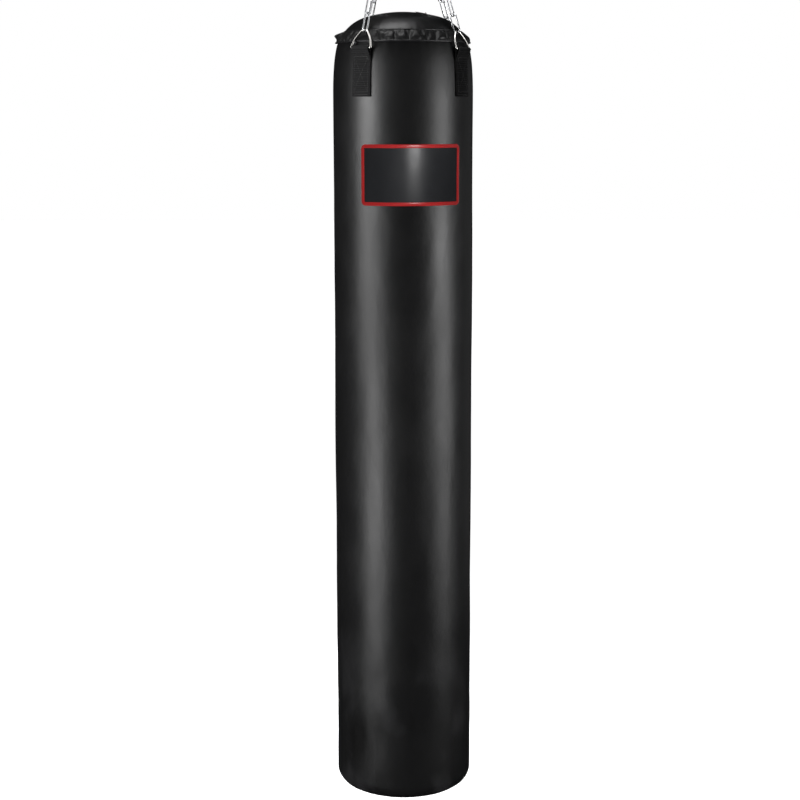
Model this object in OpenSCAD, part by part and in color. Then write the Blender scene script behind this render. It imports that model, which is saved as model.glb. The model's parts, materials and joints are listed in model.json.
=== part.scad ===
// Hanging heavy bag: a stuffed vinyl cylinder held by four webbing straps, D-rings and chains
// under a swivel. The origin is the centre of the swivel eye's bore, +Z is up, -Y is the front.

/* [Bag] */
// Diameter of the bag's straight wall
bag_d = 340; // [260:1:420]
// Height from the rim seam down to the base edge
bag_h = 1868; // [1000:1:2200]
// How far the wall draws in at the rim seam
shoulder_in = 8.5; // [5:0.5:16]
// Height over which the wall draws in
shoulder_h = 120; // [80:1:200]
// Radius of the rounded base edge
edge_r = 36; // [20:1:60]
// Slope of the base where it meets the rounded edge, in degrees
base_slope = 16; // [10:1:26]
// Thickness of the vinyl skin
vinyl_t = 2; // [1.2:0.1:3]
// Thickness of the foam sleeve behind the skin
foam_t = 20; // [10:1:40]
// Gap left between neighbouring layers
layer_gap = 0.3; // [0.2:0.05:0.6]

/* [Top] */
// Height of the top cover's crown above the rim seam
dome_h = 74; // [60:1:100]
// Radius of the crown's middle part
crown_r = 330; // [260:1:420]
// Half angle of the crown's middle part, in degrees
crown_angle = 15; // [13:0.5:18]
// Height of the gathered hem between the rim seam and the top cover
hem_h = 27; // [18:1:34]
// How far the hem leans in from the rim seam to the top cover
hem_in = 20; // [14:1:26]
// Thickness of the gathered hem
hem_t = 5; // [3:0.5:8]

/* [Filler zip] */
// Length of the zip over the crown
zip_length = 130; // [90:1:150]
// Distance of the zip behind the middle of the crown
zip_back = 45; // [30:1:50]
// Width of each zip tape
tape_w = 12; // [8:1:16]
// Thickness of the zip tape
tape_t = 1; // [0.6:0.1:1.6]
// Width of the closed row of teeth
teeth_w = 5; // [4:0.5:8]
// Height of the teeth above the tape
teeth_t = 1.6; // [1.2:0.1:2.4]
// Length of the end stops
stop_l = 3; // [2:0.5:5]
// Length of the slider
slider_l = 14; // [10:1:20]
// Wall of the slider
slider_t = 1.5; // [1:0.1:2.2]
// Length of the pull tab from its pin
pull_l = 28; // [18:1:40]
// Width of the pull tab
pull_w = 9; // [7:0.5:12]
// Thickness of the pull tab
pull_t = 1.4; // [1:0.1:2]
// Diameter of the pull tab's pin
pull_pin_d = 1.6; // [1.2:0.1:2]

/* [Label] */
// Width of the label along the wall
label_w = 257; // [160:1:300]
// Height of the label
label_h = 144; // [80:1:200]
// Distance from the rim seam to the label's top edge
label_drop = 239; // [205:1:320]
// Angle of the label's middle from the front, in degrees
label_azimuth = 8; // [-20:1:20]
// Thickness of the label
label_t = 1.2; // [0.8:0.1:2]
// Width of the label's edging
edging_w = 8.5; // [5:0.5:14]
// Thickness of the label's edging
edging_t = 0.8; // [0.5:0.1:1.5]

/* [Straps] */
// Angles of the straps from the front: front left, front right, back right, back left
strap_azimuth = [-35, 55, 131, 215]; // [-60:1:240]
// Width of the webbing
strap_w = 48; // [38:1:56]
// Thickness of one ply of webbing
strap_t = 2; // [1.5:0.1:3]
// Distance from the rim seam down to the strap's loop
strap_drop = 15; // [12:0.5:24]
// Height over which the strap leaves the wall for its loop
strap_lead = 30; // [20:1:40]
// Distance from the rim seam down to the strap's lower end
strap_end = 128; // [90:1:170]

/* [D-rings] */
// Diameter of the ring's wire
ring_wire = 5; // [4:0.5:7]
// Height of the ring between the middles of its wire
ring_h = 44.5; // [40:0.5:60]
// Bend radius at the ring's lower corners
ring_corner_r = 3; // [3:0.5:6]
// Bend radius at the ring's top
ring_top_r = 13; // [9:0.5:16]
// How far the ring's sides bow outwards
ring_bow = 2.5; // [1.5:0.1:4]
// Room between the strap's edge and the ring's corner
ring_room = 1; // [0.8:0.1:3]
// Gap between the leaning ring and the hem behind it
ring_clear = 2.5; // [2:0.1:5]

/* [Chains] */
// Number of links in each chain
chain_links = 10; // [8:1:14]
// Diameter of the links' wire
link_wire = 4; // [3:0.1:5]
// Inner length of a link
link_l = 43; // [36:0.5:50]
// Inner width of a link
link_w = 12; // [11:0.5:15]

/* [Master link] */
// Diameter of the master link's wire
master_wire = 8; // [6:0.5:9]
// Height from the bar up to the jaw pin
master_h = 55; // [48:1:80]
// Bend radius at the bar's ends
master_corner_r = 9; // [7:0.5:14]
// Spacing of the chains along the bar
hook_pitch = 12; // [10:0.5:16]
// Room between the outer chain and the bar's bend
bar_room = 6; // [3:0.5:12]

/* [Swivel] */
// Bore of the eye that hangs on the hook or shackle above
eye_bore_d = 16; // [12:0.5:20]
// Outer diameter of the eye
eye_d = 40; // [34:1:50]
// Thickness of the eye along its bore
eye_t = 14; // [12:0.5:18]
// Rounding of the eye's outer edge
eye_round = 5; // [2:0.5:5.5]
// Diameter of the stem
stem_d = 12; // [10:0.5:14]
// Diameter of the collar, the washers and the nut on the stem
collar_d = 20; // [18:0.5:22]
// Height of the collar below the eye
collar_h = 6; // [4:0.5:10]
// Thickness of each thrust washer
washer_t = 2; // [1.5:0.1:3]
// Height of the nut under the jaw's crown
stem_nut_h = 9; // [6:0.5:12]
// Diameter of the jaw
jaw_d = 40; // [36:1:48]
// Thickness of the jaw's crown
jaw_crown_t = 12; // [8:0.5:16]
// Width of the jaw's slot
slot_w = 24; // [23:0.5:25]
// Thickness of each ear beside the slot
ear_t = 5; // [4:0.25:6]
// Radius of the ears' rounded ends
ear_r = 11; // [9:0.5:14]
// Diameter of the jaw pin
pin_d = 8; // [6:0.5:10]
// Diameter of the pin's head and nut
pin_head_d = 14; // [13:0.5:16]
// Height of the pin's head and nut
pin_head_h = 5.5; // [4:0.5:8]
// Length of thread that shows past a nut
thread_show = 2; // [1:0.5:4]

/* [Fits] */
// Gap between metal pieces that hang in one another
metal_gap = 0.3; // [0.2:0.05:0.5]
// Radial clearance of a turning or bolted fit
turn_fit = 0.06; // [0.03:0.01:0.09]
// How much thinner a wire's straight runs are than its bends
wire_step = 0.04; // [0.03:0.005:0.05]
// How far a wire's straight runs reach into its bends
wire_lap = 0.1; // [0.08:0.01:0.12]

/* [Hidden] */
$fn = 96;
SIDES = ["front_left", "front_right", "back_right", "back_left"];
HOOK_PLACES = [-1.5, 1.5, 0.5, -0.5];

// Wall: an arc that draws in towards the rim seam, at depth t below the seam
bag_r = bag_d / 2;
rim_r = bag_r - shoulder_in;
shoulder_r = (shoulder_h * shoulder_h + shoulder_in * shoulder_in) / (2 * shoulder_in);
wall_h = bag_h - edge_r;
function wall_r(t) =
    t >= shoulder_h
    ? bag_r
    : bag_r - shoulder_r + sqrt(pow(shoulder_r, 2) - pow(shoulder_h - t, 2));
function wall_curve(from, to, out, steps = 12) =
    [for (k = [0:steps]) let (t = from + (to - from) * k / steps) [wall_r(t) + out, -t]];
function backwards(points) = [for (k = [len(points) - 1:-1:0]) points[k]];

// Base: a rounded edge that runs into a shallow cap, both drawn in by an inset
cap_r = edge_r + (bag_r - edge_r) / sin(base_slope);
cap_z = -wall_h + (cap_r - edge_r) * cos(base_slope);
edge_sweep = 90 - base_slope;
function base_curve(inset, steps = 10) = concat(
    [for (k = [0:steps]) let (a = edge_sweep * k / steps)
        [bag_r - edge_r + (edge_r - inset) * cos(a), -wall_h - (edge_r - inset) * sin(a)]],
    [for (k = [1:steps]) let (a = base_slope * (1 - k / steps))
        [(cap_r - inset) * sin(a), cap_z - (cap_r - inset) * cos(a)]]
);

// Top cover: a crown that runs into a tighter shoulder, which ends at the hem's top edge
dome_edge_r = rim_r - hem_in;
crown_z = dome_h - crown_r;
crown_end = [crown_r * sin(crown_angle), crown_z + crown_r * cos(crown_angle)];
crown_normal = [sin(crown_angle), cos(crown_angle)];
to_edge = [dome_edge_r, hem_h] - crown_end;
dome_shoulder_r = -(to_edge * to_edge) / (2 * (to_edge * crown_normal));
dome_shoulder_c = crown_end - dome_shoulder_r * crown_normal;
function dome_curve(inset, steps = 10) =
    let (last = acos((hem_h - dome_shoulder_c[1]) / (dome_shoulder_r - inset)))
    concat(
        [for (k = [0:steps]) let (a = crown_angle * k / steps)
            [(crown_r - inset) * sin(a), crown_z + (crown_r - inset) * cos(a)]],
        [for (k = [1:steps]) let (a = crown_angle + (last - crown_angle) * k / steps)
            dome_shoulder_c + (dome_shoulder_r - inset) * [sin(a), cos(a)]]
    );
function last_of(points) = points[len(points) - 1];
cover_inner_r = last_of(dome_curve(vinyl_t))[0];

// Hem: leans in from the rim seam to the cover's edge, more steeply towards its top
hem_bend = 1.4;
function hem_r(z) = rim_r - hem_in * pow(z / hem_h, hem_bend);
function hem_curve(inset, steps = 6) =
    [for (k = [0:steps]) let (z = hem_h * k / steps) [hem_r(z) - inset, z]];

// Chains: links pulled tight from the ring's top to the master link's bar
link_pitch = link_l - metal_gap;
first_link = link_l / 2 - ring_wire / 2 - metal_gap;
last_link = link_l / 2 - master_wire / 2 - metal_gap;
chain_l = first_link + (chain_links - 1) * link_pitch + last_link;
ring_tilt = asin(bag_r / (chain_l + ring_h));

// Strap loop: stands off far enough for the leaning ring to clear the wall and the hem
loop_stand = max([for (p = hem_curve(0)) p[0] + (p[1] + strap_drop) * tan(ring_tilt)]);
loop_r = loop_stand + ring_clear + ring_wire / 2 / cos(ring_tilt);
loop_inner_r = ring_wire / 2 + metal_gap;
ring_top_out = loop_r - ring_h * sin(ring_tilt);

// Swivel stack, from the eye down to the master link's bar
collar_z = -eye_d / 2 - collar_h;
jaw_top = collar_z - metal_gap - washer_t;
slot_top = jaw_top - jaw_crown_t;
nut_top = slot_top - washer_t - metal_gap;
stem_end = nut_top - stem_nut_h - thread_show;
master_top_r = pin_d / 2 + metal_gap + master_wire / 2;
link_room = 3;
pin_z = stem_end - link_room - master_top_r - master_wire / 2;
bar_z = pin_z - master_h;
bar_half = 1.5 * hook_pitch + link_wire / 2 + bar_room;
jaw_flat = slot_w / 2 + ear_t;

// Where each chain starts on its ring and ends on the bar
function outward(i) = [sin(strap_azimuth[i]), -cos(strap_azimuth[i])];
function hook_x(i) = hook_pitch * HOOK_PLACES[i];
function across(i) = [hook_x(i), 0] - ring_top_out * outward(i);
function ring_top_z(i) = bar_z - sqrt(chain_l * chain_l - across(i) * across(i));
function loop_z(i) = ring_top_z(i) - ring_h * cos(ring_tilt);
seam_z = (loop_z(0) + loop_z(1) + loop_z(2) + loop_z(3)) / 4 + strap_drop;

// Zip: everything on it turns about one line across the crown's centre
zip_lean = asin(zip_back / crown_r);
turn_per_mm = 180 / (PI * crown_r * cos(zip_lean));
zip_end = zip_length / 2 * turn_per_mm;
teeth_end = zip_end - stop_l * turn_per_mm;
slider_half = slider_l / 2 * turn_per_mm;
slider_at = teeth_end - slider_half - metal_gap * turn_per_mm;
tape_top = layer_gap + tape_t;
teeth_top = tape_top + teeth_t;
slider_in = teeth_w / 2 + metal_gap;
slider_out = slider_in + slider_t;
slider_top = teeth_top + metal_gap + slider_t;
barrel_r = pull_pin_d / 2 + 1;
pull_pin_h = slider_top + metal_gap + barrel_r;
lug_in = pull_w / 4;
lug_t = 1.2;

// Turns a drawn profile about Z to make a round skin
module turned(points) {
    rotate_extrude() polygon(points);
}

// Places a piece that is drawn from the rim seam
module at_seam() {
    translate([0, 0, seam_z]) children();
}

// Sweeps a profile round the wall, centred on an angle from the front
module round_wall(azimuth, sweep) {
    rotate([0, 0, azimuth - 90 - sweep / 2]) rotate_extrude(angle = sweep) children();
}

// Sweeps a profile over the crown along the zip: x is height above the crown, y is across the zip
module along_zip(from, to) {
    at_seam() translate([0, 0, crown_z])
        rotate([-90, 0, 0]) rotate([0, 0, from - 90])
            rotate_extrude(angle = to - from) rotate(zip_lean) translate([crown_r, 0]) children();
}

// Stands a piece on the crown where the slider is: x along the zip, z away from the crown
module at_slider() {
    at_seam() translate([0, 0, crown_z])
        rotate([0, slider_at, 0]) rotate([-zip_lean, 0, 0]) translate([0, 0, crown_r]) children();
}

// Closed wire loop in the XY plane round circles [x, y, radius], taken anticlockwise
function belt_step(a, b) = [b[0] - a[0], b[1] - a[1]];
function belt_normal(a, b) =
    let (step = belt_step(a, b)) atan2(step[1], step[0]) - acos((a[2] - b[2]) / norm(step));
function turn_between(from, to) = (to - from) - 360 * floor((to - from) / 360);
function around(circles, k) = circles[(k + len(circles)) % len(circles)];

// Circle that bows the straight run between two others outwards in its middle third
function side_bow(a, b, bow) =
    let (
        normal = belt_normal(a, b),
        out = [cos(normal), sin(normal)],
        from = [a[0], a[1]] + a[2] * out,
        to = [b[0], b[1]] + b[2] * out,
        radius = (to - from) * (to - from) / (12 * bow),
        centre = (from + to) / 2 + (bow - radius) * out
    )
    [centre[0], centre[1], radius];

module wire_bend(circles, k, wire) {
    here = circles[k];
    arrive = belt_normal(around(circles, k - 1), here);
    leave = belt_normal(here, around(circles, k + 1));
    translate([here[0], here[1]]) rotate(arrive)
        rotate_extrude(angle = turn_between(arrive, leave))
            translate([here[2], 0]) circle(d = wire, $fn = 32);
}

module wire_run(circles, k, wire) {
    here = circles[k];
    after = around(circles, k + 1);
    run = norm(belt_step(here, after));
    straight = sqrt(run * run - pow(after[2] - here[2], 2));
    translate([here[0], here[1]]) rotate(belt_normal(here, after))
        translate([here[2], -wire_lap]) rotate([-90, 0, 0])
            cylinder(d = wire - wire_step, h = straight + 2 * wire_lap, $fn = 32);
}

module wire_loop(circles, wire) {
    last = len(circles) - 1;
    for (k = [0:last]) wire_bend(circles, k, wire);
    for (k = [0:last]) wire_run(circles, k, wire);
}

module outer_shell() {
    color("#1d1d1f") at_seam() turned(concat(
        wall_curve(0, shoulder_h, 0),
        [[bag_r, -wall_h], [bag_r - vinyl_t, -wall_h]],
        backwards(wall_curve(0, shoulder_h, -vinyl_t))
    ));
}

module bottom_panel() {
    color("#1a1a1c") at_seam() turned(concat(base_curve(0), backwards(base_curve(vinyl_t))));
}

module top_cover() {
    color("#222224") at_seam() turned(concat(dome_curve(0), backwards(dome_curve(vinyl_t))));
}

module rim_hem() {
    color("#18181a") at_seam() turned(concat(hem_curve(0), backwards(hem_curve(hem_t))));
}

liner_in = rim_r - vinyl_t - layer_gap - foam_t;
module foam_liner() {
    skin = vinyl_t + layer_gap;
    color("#5b5f66") at_seam() turned(concat(
        wall_curve(layer_gap, shoulder_h, -skin),
        [[bag_r - skin, -wall_h], [liner_in, -wall_h], [liner_in, -layer_gap]]
    ));
}

module textile_fill() {
    color("#8d8478") at_seam() translate([0, 0, -wall_h])
        cylinder(r = liner_in - layer_gap, h = wall_h - layer_gap);
}

module bottom_pad() {
    color("#6a6e75") at_seam() turned(concat(base_curve(vinyl_t + layer_gap), [[0, -wall_h]]));
}

module top_pad() {
    inset = vinyl_t + layer_gap;
    pad_r = min(cover_inner_r, hem_r(hem_h) - hem_t) - layer_gap;
    color("#6a6e75") at_seam() intersection() {
        turned(concat(dome_curve(inset), [[rim_r, hem_h], [rim_r, 0], [0, 0]]));
        cylinder(r = pad_r, h = dome_h);
    }
}

label_sweep = label_w / bag_r * 180 / PI;
edging_sweep = edging_w / bag_r * 180 / PI;
label_face_r = bag_r + layer_gap + label_t;
module label_patch() {
    color("#121214") at_seam() round_wall(label_azimuth, label_sweep)
        translate([bag_r + layer_gap, -label_drop - label_h]) square([label_t, label_h]);
}

module label_edging() {
    seat = label_face_r + layer_gap;
    color("#b3262d") at_seam() difference() {
        round_wall(label_azimuth, label_sweep)
            translate([seat, -label_drop - label_h]) square([edging_t, label_h]);
        round_wall(label_azimuth, label_sweep - 2 * edging_sweep)
            translate([seat - edging_t, -label_drop - label_h + edging_w])
                square([3 * edging_t, label_h - 2 * edging_w]);
    }
}

module zip_tape(side) {
    inner = teeth_w / 2 + layer_gap;
    start = side > 0 ? inner : -inner - tape_w;
    color("#26262a") along_zip(-zip_end, zip_end)
        translate([layer_gap, start]) square([tape_t, tape_w]);
}

module zip_tape_front() {
    zip_tape(-1);
}

module zip_tape_back() {
    zip_tape(1);
}

module zip_teeth() {
    color("#3a3a3f") along_zip(-teeth_end, teeth_end)
        translate([layer_gap, -teeth_w / 2]) square([teeth_top - layer_gap, teeth_w]);
}

module zip_stops() {
    seat = tape_top + layer_gap;
    for (ends = [[-zip_end, -teeth_end], [teeth_end, zip_end]])
        color("#9c9ca2") along_zip(ends[0], ends[1])
            translate([seat, -slider_out]) square([slider_top - seat, 2 * slider_out]);
}

module zip_slider() {
    low = tape_top + metal_gap;
    under = slider_top - slider_t;
    color("#a8a8ae") union() {
        along_zip(slider_at - slider_half, slider_at + slider_half) difference() {
            translate([low, -slider_out]) square([slider_top - low, 2 * slider_out]);
            translate([low - slider_t, -slider_in]) square([under - low + slider_t, 2 * slider_in]);
        }
        at_slider() for (side = [-1, 1])
            translate([0, side * (lug_in + lug_t / 2), 0]) rotate([90, 0, 0])
                linear_extrude(lug_t, center = true) {
                    translate([-barrel_r, slider_top - slider_t / 2])
                        square([2 * barrel_r, pull_pin_h - slider_top + slider_t / 2]);
                    translate([0, pull_pin_h]) circle(r = barrel_r, $fn = 32);
                }
        at_slider() translate([0, 0, pull_pin_h]) rotate([90, 0, 0])
            cylinder(d = pull_pin_d, h = 2 * lug_in + lug_t, center = true, $fn = 32);
    }
}

// The tab lies back along the zip, just clear of the slider's top
module zip_pull() {
    neck = 2 * (lug_in - metal_gap);
    neck_l = 2 * barrel_r + metal_gap;
    color("#b4b4ba") at_slider() translate([0, 0, pull_pin_h]) difference() {
        union() {
            rotate([90, 0, 0]) cylinder(r = barrel_r, h = neck, center = true, $fn = 32);
            translate([0, 0, -barrel_r]) linear_extrude(pull_t) difference() {
                union() {
                    translate([-neck_l, -neck / 2]) square([neck_l, neck]);
                    translate([-pull_l + pull_w / 2, -pull_w / 2])
                        square([pull_l - pull_w / 2 - neck_l, pull_w]);
                    translate([-pull_l + pull_w / 2, 0]) circle(d = pull_w, $fn = 32);
                }
                translate([-pull_l + pull_w / 2, 0]) circle(d = pull_w / 2, $fn = 32);
            }
        }
        rotate([90, 0, 0])
            cylinder(d = pull_pin_d + 2 * turn_fit, h = 2 * neck, center = true, $fn = 32);
    }
}

// Two plies sewn to the wall, with a straight loop at the top that holds the ring's bar
module strap(i) {
    loop_up = loop_z(i) - seam_z;
    ply = 2 * strap_t;
    sweep = strap_w / rim_r * 180 / PI;
    color("#232326") at_seam() difference() {
        union() {
            round_wall(strap_azimuth[i], sweep) polygon(concat(
                [[loop_r - strap_t, loop_up]],
                wall_curve(strap_lead - loop_up, strap_end, layer_gap),
                backwards(wall_curve(strap_lead - loop_up, strap_end, layer_gap + ply)),
                [[loop_r + strap_t, loop_up]]
            ));
            strap_loop(i, loop_up) cylinder(r = loop_inner_r + strap_t, h = strap_w, center = true);
        }
        strap_loop(i, loop_up) cylinder(r = loop_inner_r, h = 2 * strap_w, center = true);
    }
}

module strap_loop(i, up) {
    rotate([0, 0, strap_azimuth[i]]) translate([0, -loop_r, up]) rotate([0, 90, 0]) children();
}

module d_ring(i) {
    bar = strap_w / 2 + ring_room;
    left = [-bar, ring_corner_r, ring_corner_r];
    right = [bar, ring_corner_r, ring_corner_r];
    top = [0, ring_h - ring_top_r, ring_top_r];
    color("#c9c9ce") rotate([0, 0, strap_azimuth[i]]) translate([0, -loop_r, loop_z(i)])
        rotate([90 - ring_tilt, 0, 0]) wire_loop(
            [left, right, side_bow(right, top, ring_bow), top, side_bow(top, left, ring_bow)],
            ring_wire
        );
}

// One link, its length along Z and its flat face towards X
module chain_link() {
    bend_r = (link_w + link_wire) / 2;
    centre = (link_l - link_w) / 2;
    rotate([90, 0, 90]) wire_loop([[0, -centre, bend_r], [0, centre, bend_r]], link_wire);
}

// Links turn a quarter each, and twist evenly so that the last one faces along the bar
module chain(i) {
    out = ring_top_out * outward(i);
    start = [out[0], out[1], ring_top_z(i)];
    way = [hook_x(i), 0, bar_z] - start;
    lean = acos(way[2] / norm(way));
    heading = atan2(way[1], way[0]);
    odd_turn = -strap_azimuth[i] - 90 * (chain_links - 1);
    twist = odd_turn - 180 * round(odd_turn / 180);
    color("#bdbdc3") translate(start) rotate([0, lean, heading]) for (k = [0:chain_links - 1]) {
        roll = strap_azimuth[i] + k * (90 + twist / (chain_links - 1));
        rotate([0, 0, roll - heading]) translate([0, 0, first_link + k * link_pitch]) chain_link();
    }
}

module master_link() {
    color("#c4c4ca") translate([0, 0, bar_z]) rotate([90, 0, 0]) wire_loop([
        [-bar_half, master_corner_r, master_corner_r],
        [bar_half, master_corner_r, master_corner_r],
        [0, master_h, master_top_r]
    ], master_wire);
}

module swivel_eye() {
    edge = eye_d / 2 - eye_round;
    flat = eye_t / 2 - eye_round;
    bore = eye_bore_d / 2;
    color("#c0c0c6") difference() {
        union() {
            rotate([90, 0, 0]) rotate_extrude() {
                translate([bore, -eye_t / 2]) square([edge - bore, eye_t]);
                translate([bore, -flat]) square([eye_d / 2 - bore, 2 * flat]);
                for (side = [-1, 1]) translate([edge, side * flat]) circle(r = eye_round);
            }
            translate([0, 0, collar_z]) cylinder(d = collar_d, h = collar_h + eye_round);
            translate([0, 0, stem_end]) cylinder(d = stem_d, h = collar_z - stem_end);
        }
        rotate([90, 0, 0]) cylinder(d = eye_bore_d, h = 2 * eye_t, center = true);
    }
}

// Round piece with a hole that rides on the stem
module on_stem(top, height) {
    translate([0, 0, top - height]) difference() {
        children();
        translate([0, 0, -height]) cylinder(d = stem_d + 2 * turn_fit, h = 3 * height);
    }
}

module stem_nut() {
    color("#a9a9b0") on_stem(nut_top, stem_nut_h) cylinder(d = collar_d, h = stem_nut_h, $fn = 6);
}

module upper_washer() {
    color("#b08d57") on_stem(jaw_top + washer_t, washer_t) cylinder(d = collar_d, h = washer_t);
}

module lower_washer() {
    color("#b08d57") on_stem(slot_top, washer_t) cylinder(d = collar_d, h = washer_t);
}

// Turned barrel with a slot for the master link, flats for the pin and rounded ears
module swivel_jaw() {
    ear_bottom = pin_z - ear_r;
    color("#bcbcc2") difference() {
        intersection() {
            translate([0, 0, ear_bottom]) cylinder(d = jaw_d, h = jaw_top - ear_bottom);
            union() {
                translate([-jaw_d, -jaw_flat, pin_z])
                    cube([2 * jaw_d, 2 * jaw_flat, jaw_top - pin_z]);
                translate([0, 0, pin_z]) rotate([90, 0, 0])
                    cylinder(r = ear_r, h = 2 * jaw_flat, center = true);
            }
        }
        translate([-jaw_d, -slot_w / 2, ear_bottom - ear_r])
            cube([2 * jaw_d, slot_w, slot_top - ear_bottom + ear_r]);
        translate([0, 0, slot_top - jaw_crown_t])
            cylinder(d = stem_d + 2 * turn_fit, h = 3 * jaw_crown_t);
        translate([0, 0, pin_z]) rotate([90, 0, 0])
            cylinder(d = pin_d + 2 * turn_fit, h = 3 * jaw_flat, center = true);
    }
}

module jaw_pin() {
    shank = 2 * jaw_flat + pin_head_h + thread_show;
    color("#d0d0d5") translate([0, -jaw_flat, pin_z]) rotate([-90, 0, 0]) {
        cylinder(d = pin_d, h = shank);
        translate([0, 0, -pin_head_h]) cylinder(d = pin_head_d, h = pin_head_h);
    }
}

module jaw_pin_nut() {
    color("#a9a9b0") translate([0, jaw_flat, pin_z]) rotate([-90, 0, 0]) difference() {
        cylinder(d = pin_head_d, h = pin_head_h, $fn = 6);
        translate([0, 0, -pin_head_h]) cylinder(d = pin_d + 2 * turn_fit, h = 3 * pin_head_h);
    }
}

outer_shell();
bottom_panel();
top_cover();
rim_hem();
foam_liner();
textile_fill();
bottom_pad();
top_pad();
label_patch();
label_edging();
zip_tape_front();
zip_tape_back();
zip_teeth();
zip_stops();
zip_slider();
zip_pull();
for (i = [0:3]) strap(i);
for (i = [0:3]) d_ring(i);
for (i = [0:3]) chain(i);
master_link();
swivel_eye();
stem_nut();
upper_washer();
lower_washer();
swivel_jaw();
jaw_pin();
jaw_pin_nut();
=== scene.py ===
"""Looks of a hanging heavy bag: skin, hem, straps, label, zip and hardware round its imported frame."""

import bisect
import json
import math
import random

import bmesh
import bpy
from bpy.props import FloatProperty, FloatVectorProperty, IntProperty, PointerProperty
from mathutils import Matrix, Quaternion, Vector, noise

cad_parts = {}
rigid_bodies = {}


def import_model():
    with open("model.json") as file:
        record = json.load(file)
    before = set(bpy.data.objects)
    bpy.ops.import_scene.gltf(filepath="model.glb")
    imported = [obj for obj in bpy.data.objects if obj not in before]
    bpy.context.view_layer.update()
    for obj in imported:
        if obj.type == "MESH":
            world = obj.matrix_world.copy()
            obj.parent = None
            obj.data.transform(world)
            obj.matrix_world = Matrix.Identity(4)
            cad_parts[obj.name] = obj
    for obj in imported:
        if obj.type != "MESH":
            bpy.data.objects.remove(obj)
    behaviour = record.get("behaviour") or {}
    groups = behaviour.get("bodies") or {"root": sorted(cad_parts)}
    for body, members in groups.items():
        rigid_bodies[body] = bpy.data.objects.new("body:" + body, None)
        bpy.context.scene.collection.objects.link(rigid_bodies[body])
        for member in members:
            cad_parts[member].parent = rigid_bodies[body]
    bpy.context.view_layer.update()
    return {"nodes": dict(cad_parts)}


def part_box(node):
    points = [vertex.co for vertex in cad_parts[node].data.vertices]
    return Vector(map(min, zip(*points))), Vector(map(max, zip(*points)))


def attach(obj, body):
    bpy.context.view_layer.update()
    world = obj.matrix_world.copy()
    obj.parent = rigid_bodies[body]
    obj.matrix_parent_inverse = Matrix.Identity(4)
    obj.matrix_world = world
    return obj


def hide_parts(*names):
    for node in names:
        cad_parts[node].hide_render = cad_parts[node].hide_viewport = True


bl_info = {
    "name": "Hanging Heavy Bag",
    "version": (1, 0, 0),
    "blender": (4, 5, 0),
    "location": "View3D > Sidebar > Heavy Bag",
    "description": "Builds the soft pieces and finishes of a hanging heavy bag round its frame",
    "category": "Object",
}

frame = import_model()

# The frame's own measures, in metres
SEAM_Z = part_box("rim_hem")[0].z
RIM_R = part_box("rim_hem")[1].x
HEM_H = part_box("rim_hem")[1].z - SEAM_Z
BAG_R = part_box("outer_shell")[1].x
WALL_H = SEAM_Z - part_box("outer_shell")[0].z
BASE_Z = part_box("bottom_panel")[0].z
COVER_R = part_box("top_cover")[1].x
CROWN_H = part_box("top_cover")[1].z - SEAM_Z
LABEL_TOP = SEAM_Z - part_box("label_patch")[1].z
LABEL_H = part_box("label_patch")[1].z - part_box("label_patch")[0].z
STRAP_END = SEAM_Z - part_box("strap_front_left")[0].z
STRAP_AZIMUTH = {
    "front_left": math.radians(-35),
    "front_right": math.radians(55),
    "back_right": math.radians(131),
    "back_left": math.radians(215),
}


def length(description, default):
    """A size in metres."""
    return FloatProperty(description=description, default=default, unit="LENGTH", precision=4)


def angle(description, degrees):
    """An angle, given in degrees."""
    return FloatProperty(description=description, default=math.radians(degrees), subtype="ANGLE")


def colour(description, *rgb):
    """A surface colour, as linear red, green and blue."""
    return FloatVectorProperty(description=description, default=rgb, subtype="COLOR", min=0.0, max=1.0)


class BagSizes(bpy.types.PropertyGroup):
    """Sizes of the stuffed skin, its hem and its top cover"""

    shoulder_height: length("Height over which the wall draws in", 0.120)
    edge_radius: length("Radius of the rounded base edge", 0.036)
    base_slope: angle("Slope of the base beside its rounded edge", 16)
    lump: length("How far the stuffing pushes the skin in and out", 0.0015)
    dimple: length("Depth of the long dimple near the base", 0.0018)
    base_seam: length("Radius of the sewn seam under the base", 0.119)
    hem_lean: length("How far the hem leans in", RIM_R - COVER_R)
    pleats: IntProperty(description="Gathers round the hem", default=38, min=8)
    pleat_depth: length("Depth of the hem's gathers", 0.0058)
    welt: length("Thickness of the piping in the seams", 0.0042)
    crown_radius: length("Radius of the cover's middle part", 0.330)
    crown_angle: angle("Half angle of the cover's middle part", 15)
    vinyl: length("Thickness of the skin", 0.002)
    seam_azimuth: angle("Angle of the wall's closing seam", 173)
    seam_width: length("Width of the lapped closing seam", 0.016)


class StrapSizes(bpy.types.PropertyGroup):
    """Sizes of the webbing straps and their stitching"""

    width: length("Width of the webbing", 0.048)
    thickness: length("Thickness of one ply", 0.0018)
    spacing: length("Distance between the middles of the two plies", 0.0020)
    seat: length("Height of the inner ply's middle above the wall", 0.0013)
    bar_out: length("Distance of the ring's bar from the bag's axis", 0.172723)
    bar_lift: length("Height of the bar's middle above the ring's foot", 0.0025)
    loop_radius: length("Radius of the webbing's middle round the bar", 0.0038)
    bulge: length("How far the loop bulges in front of the bar", 0.0026)
    lead: length("Height over which the strap leaves the wall", 0.030)
    rib_pitch: length("Spacing of the ribs across the webbing", 0.0050)
    rib: length("Height of the ribs", 0.00042)
    row_step: length("Spacing of the webbing's mesh rows", 0.00043)
    stitch_inset: length("Distance of the stitching from the edges", 0.0055)
    stitch_pitch: length("Spacing of the stitches", 0.0042)
    thread: length("Thickness of the thread", 0.0009)


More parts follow.
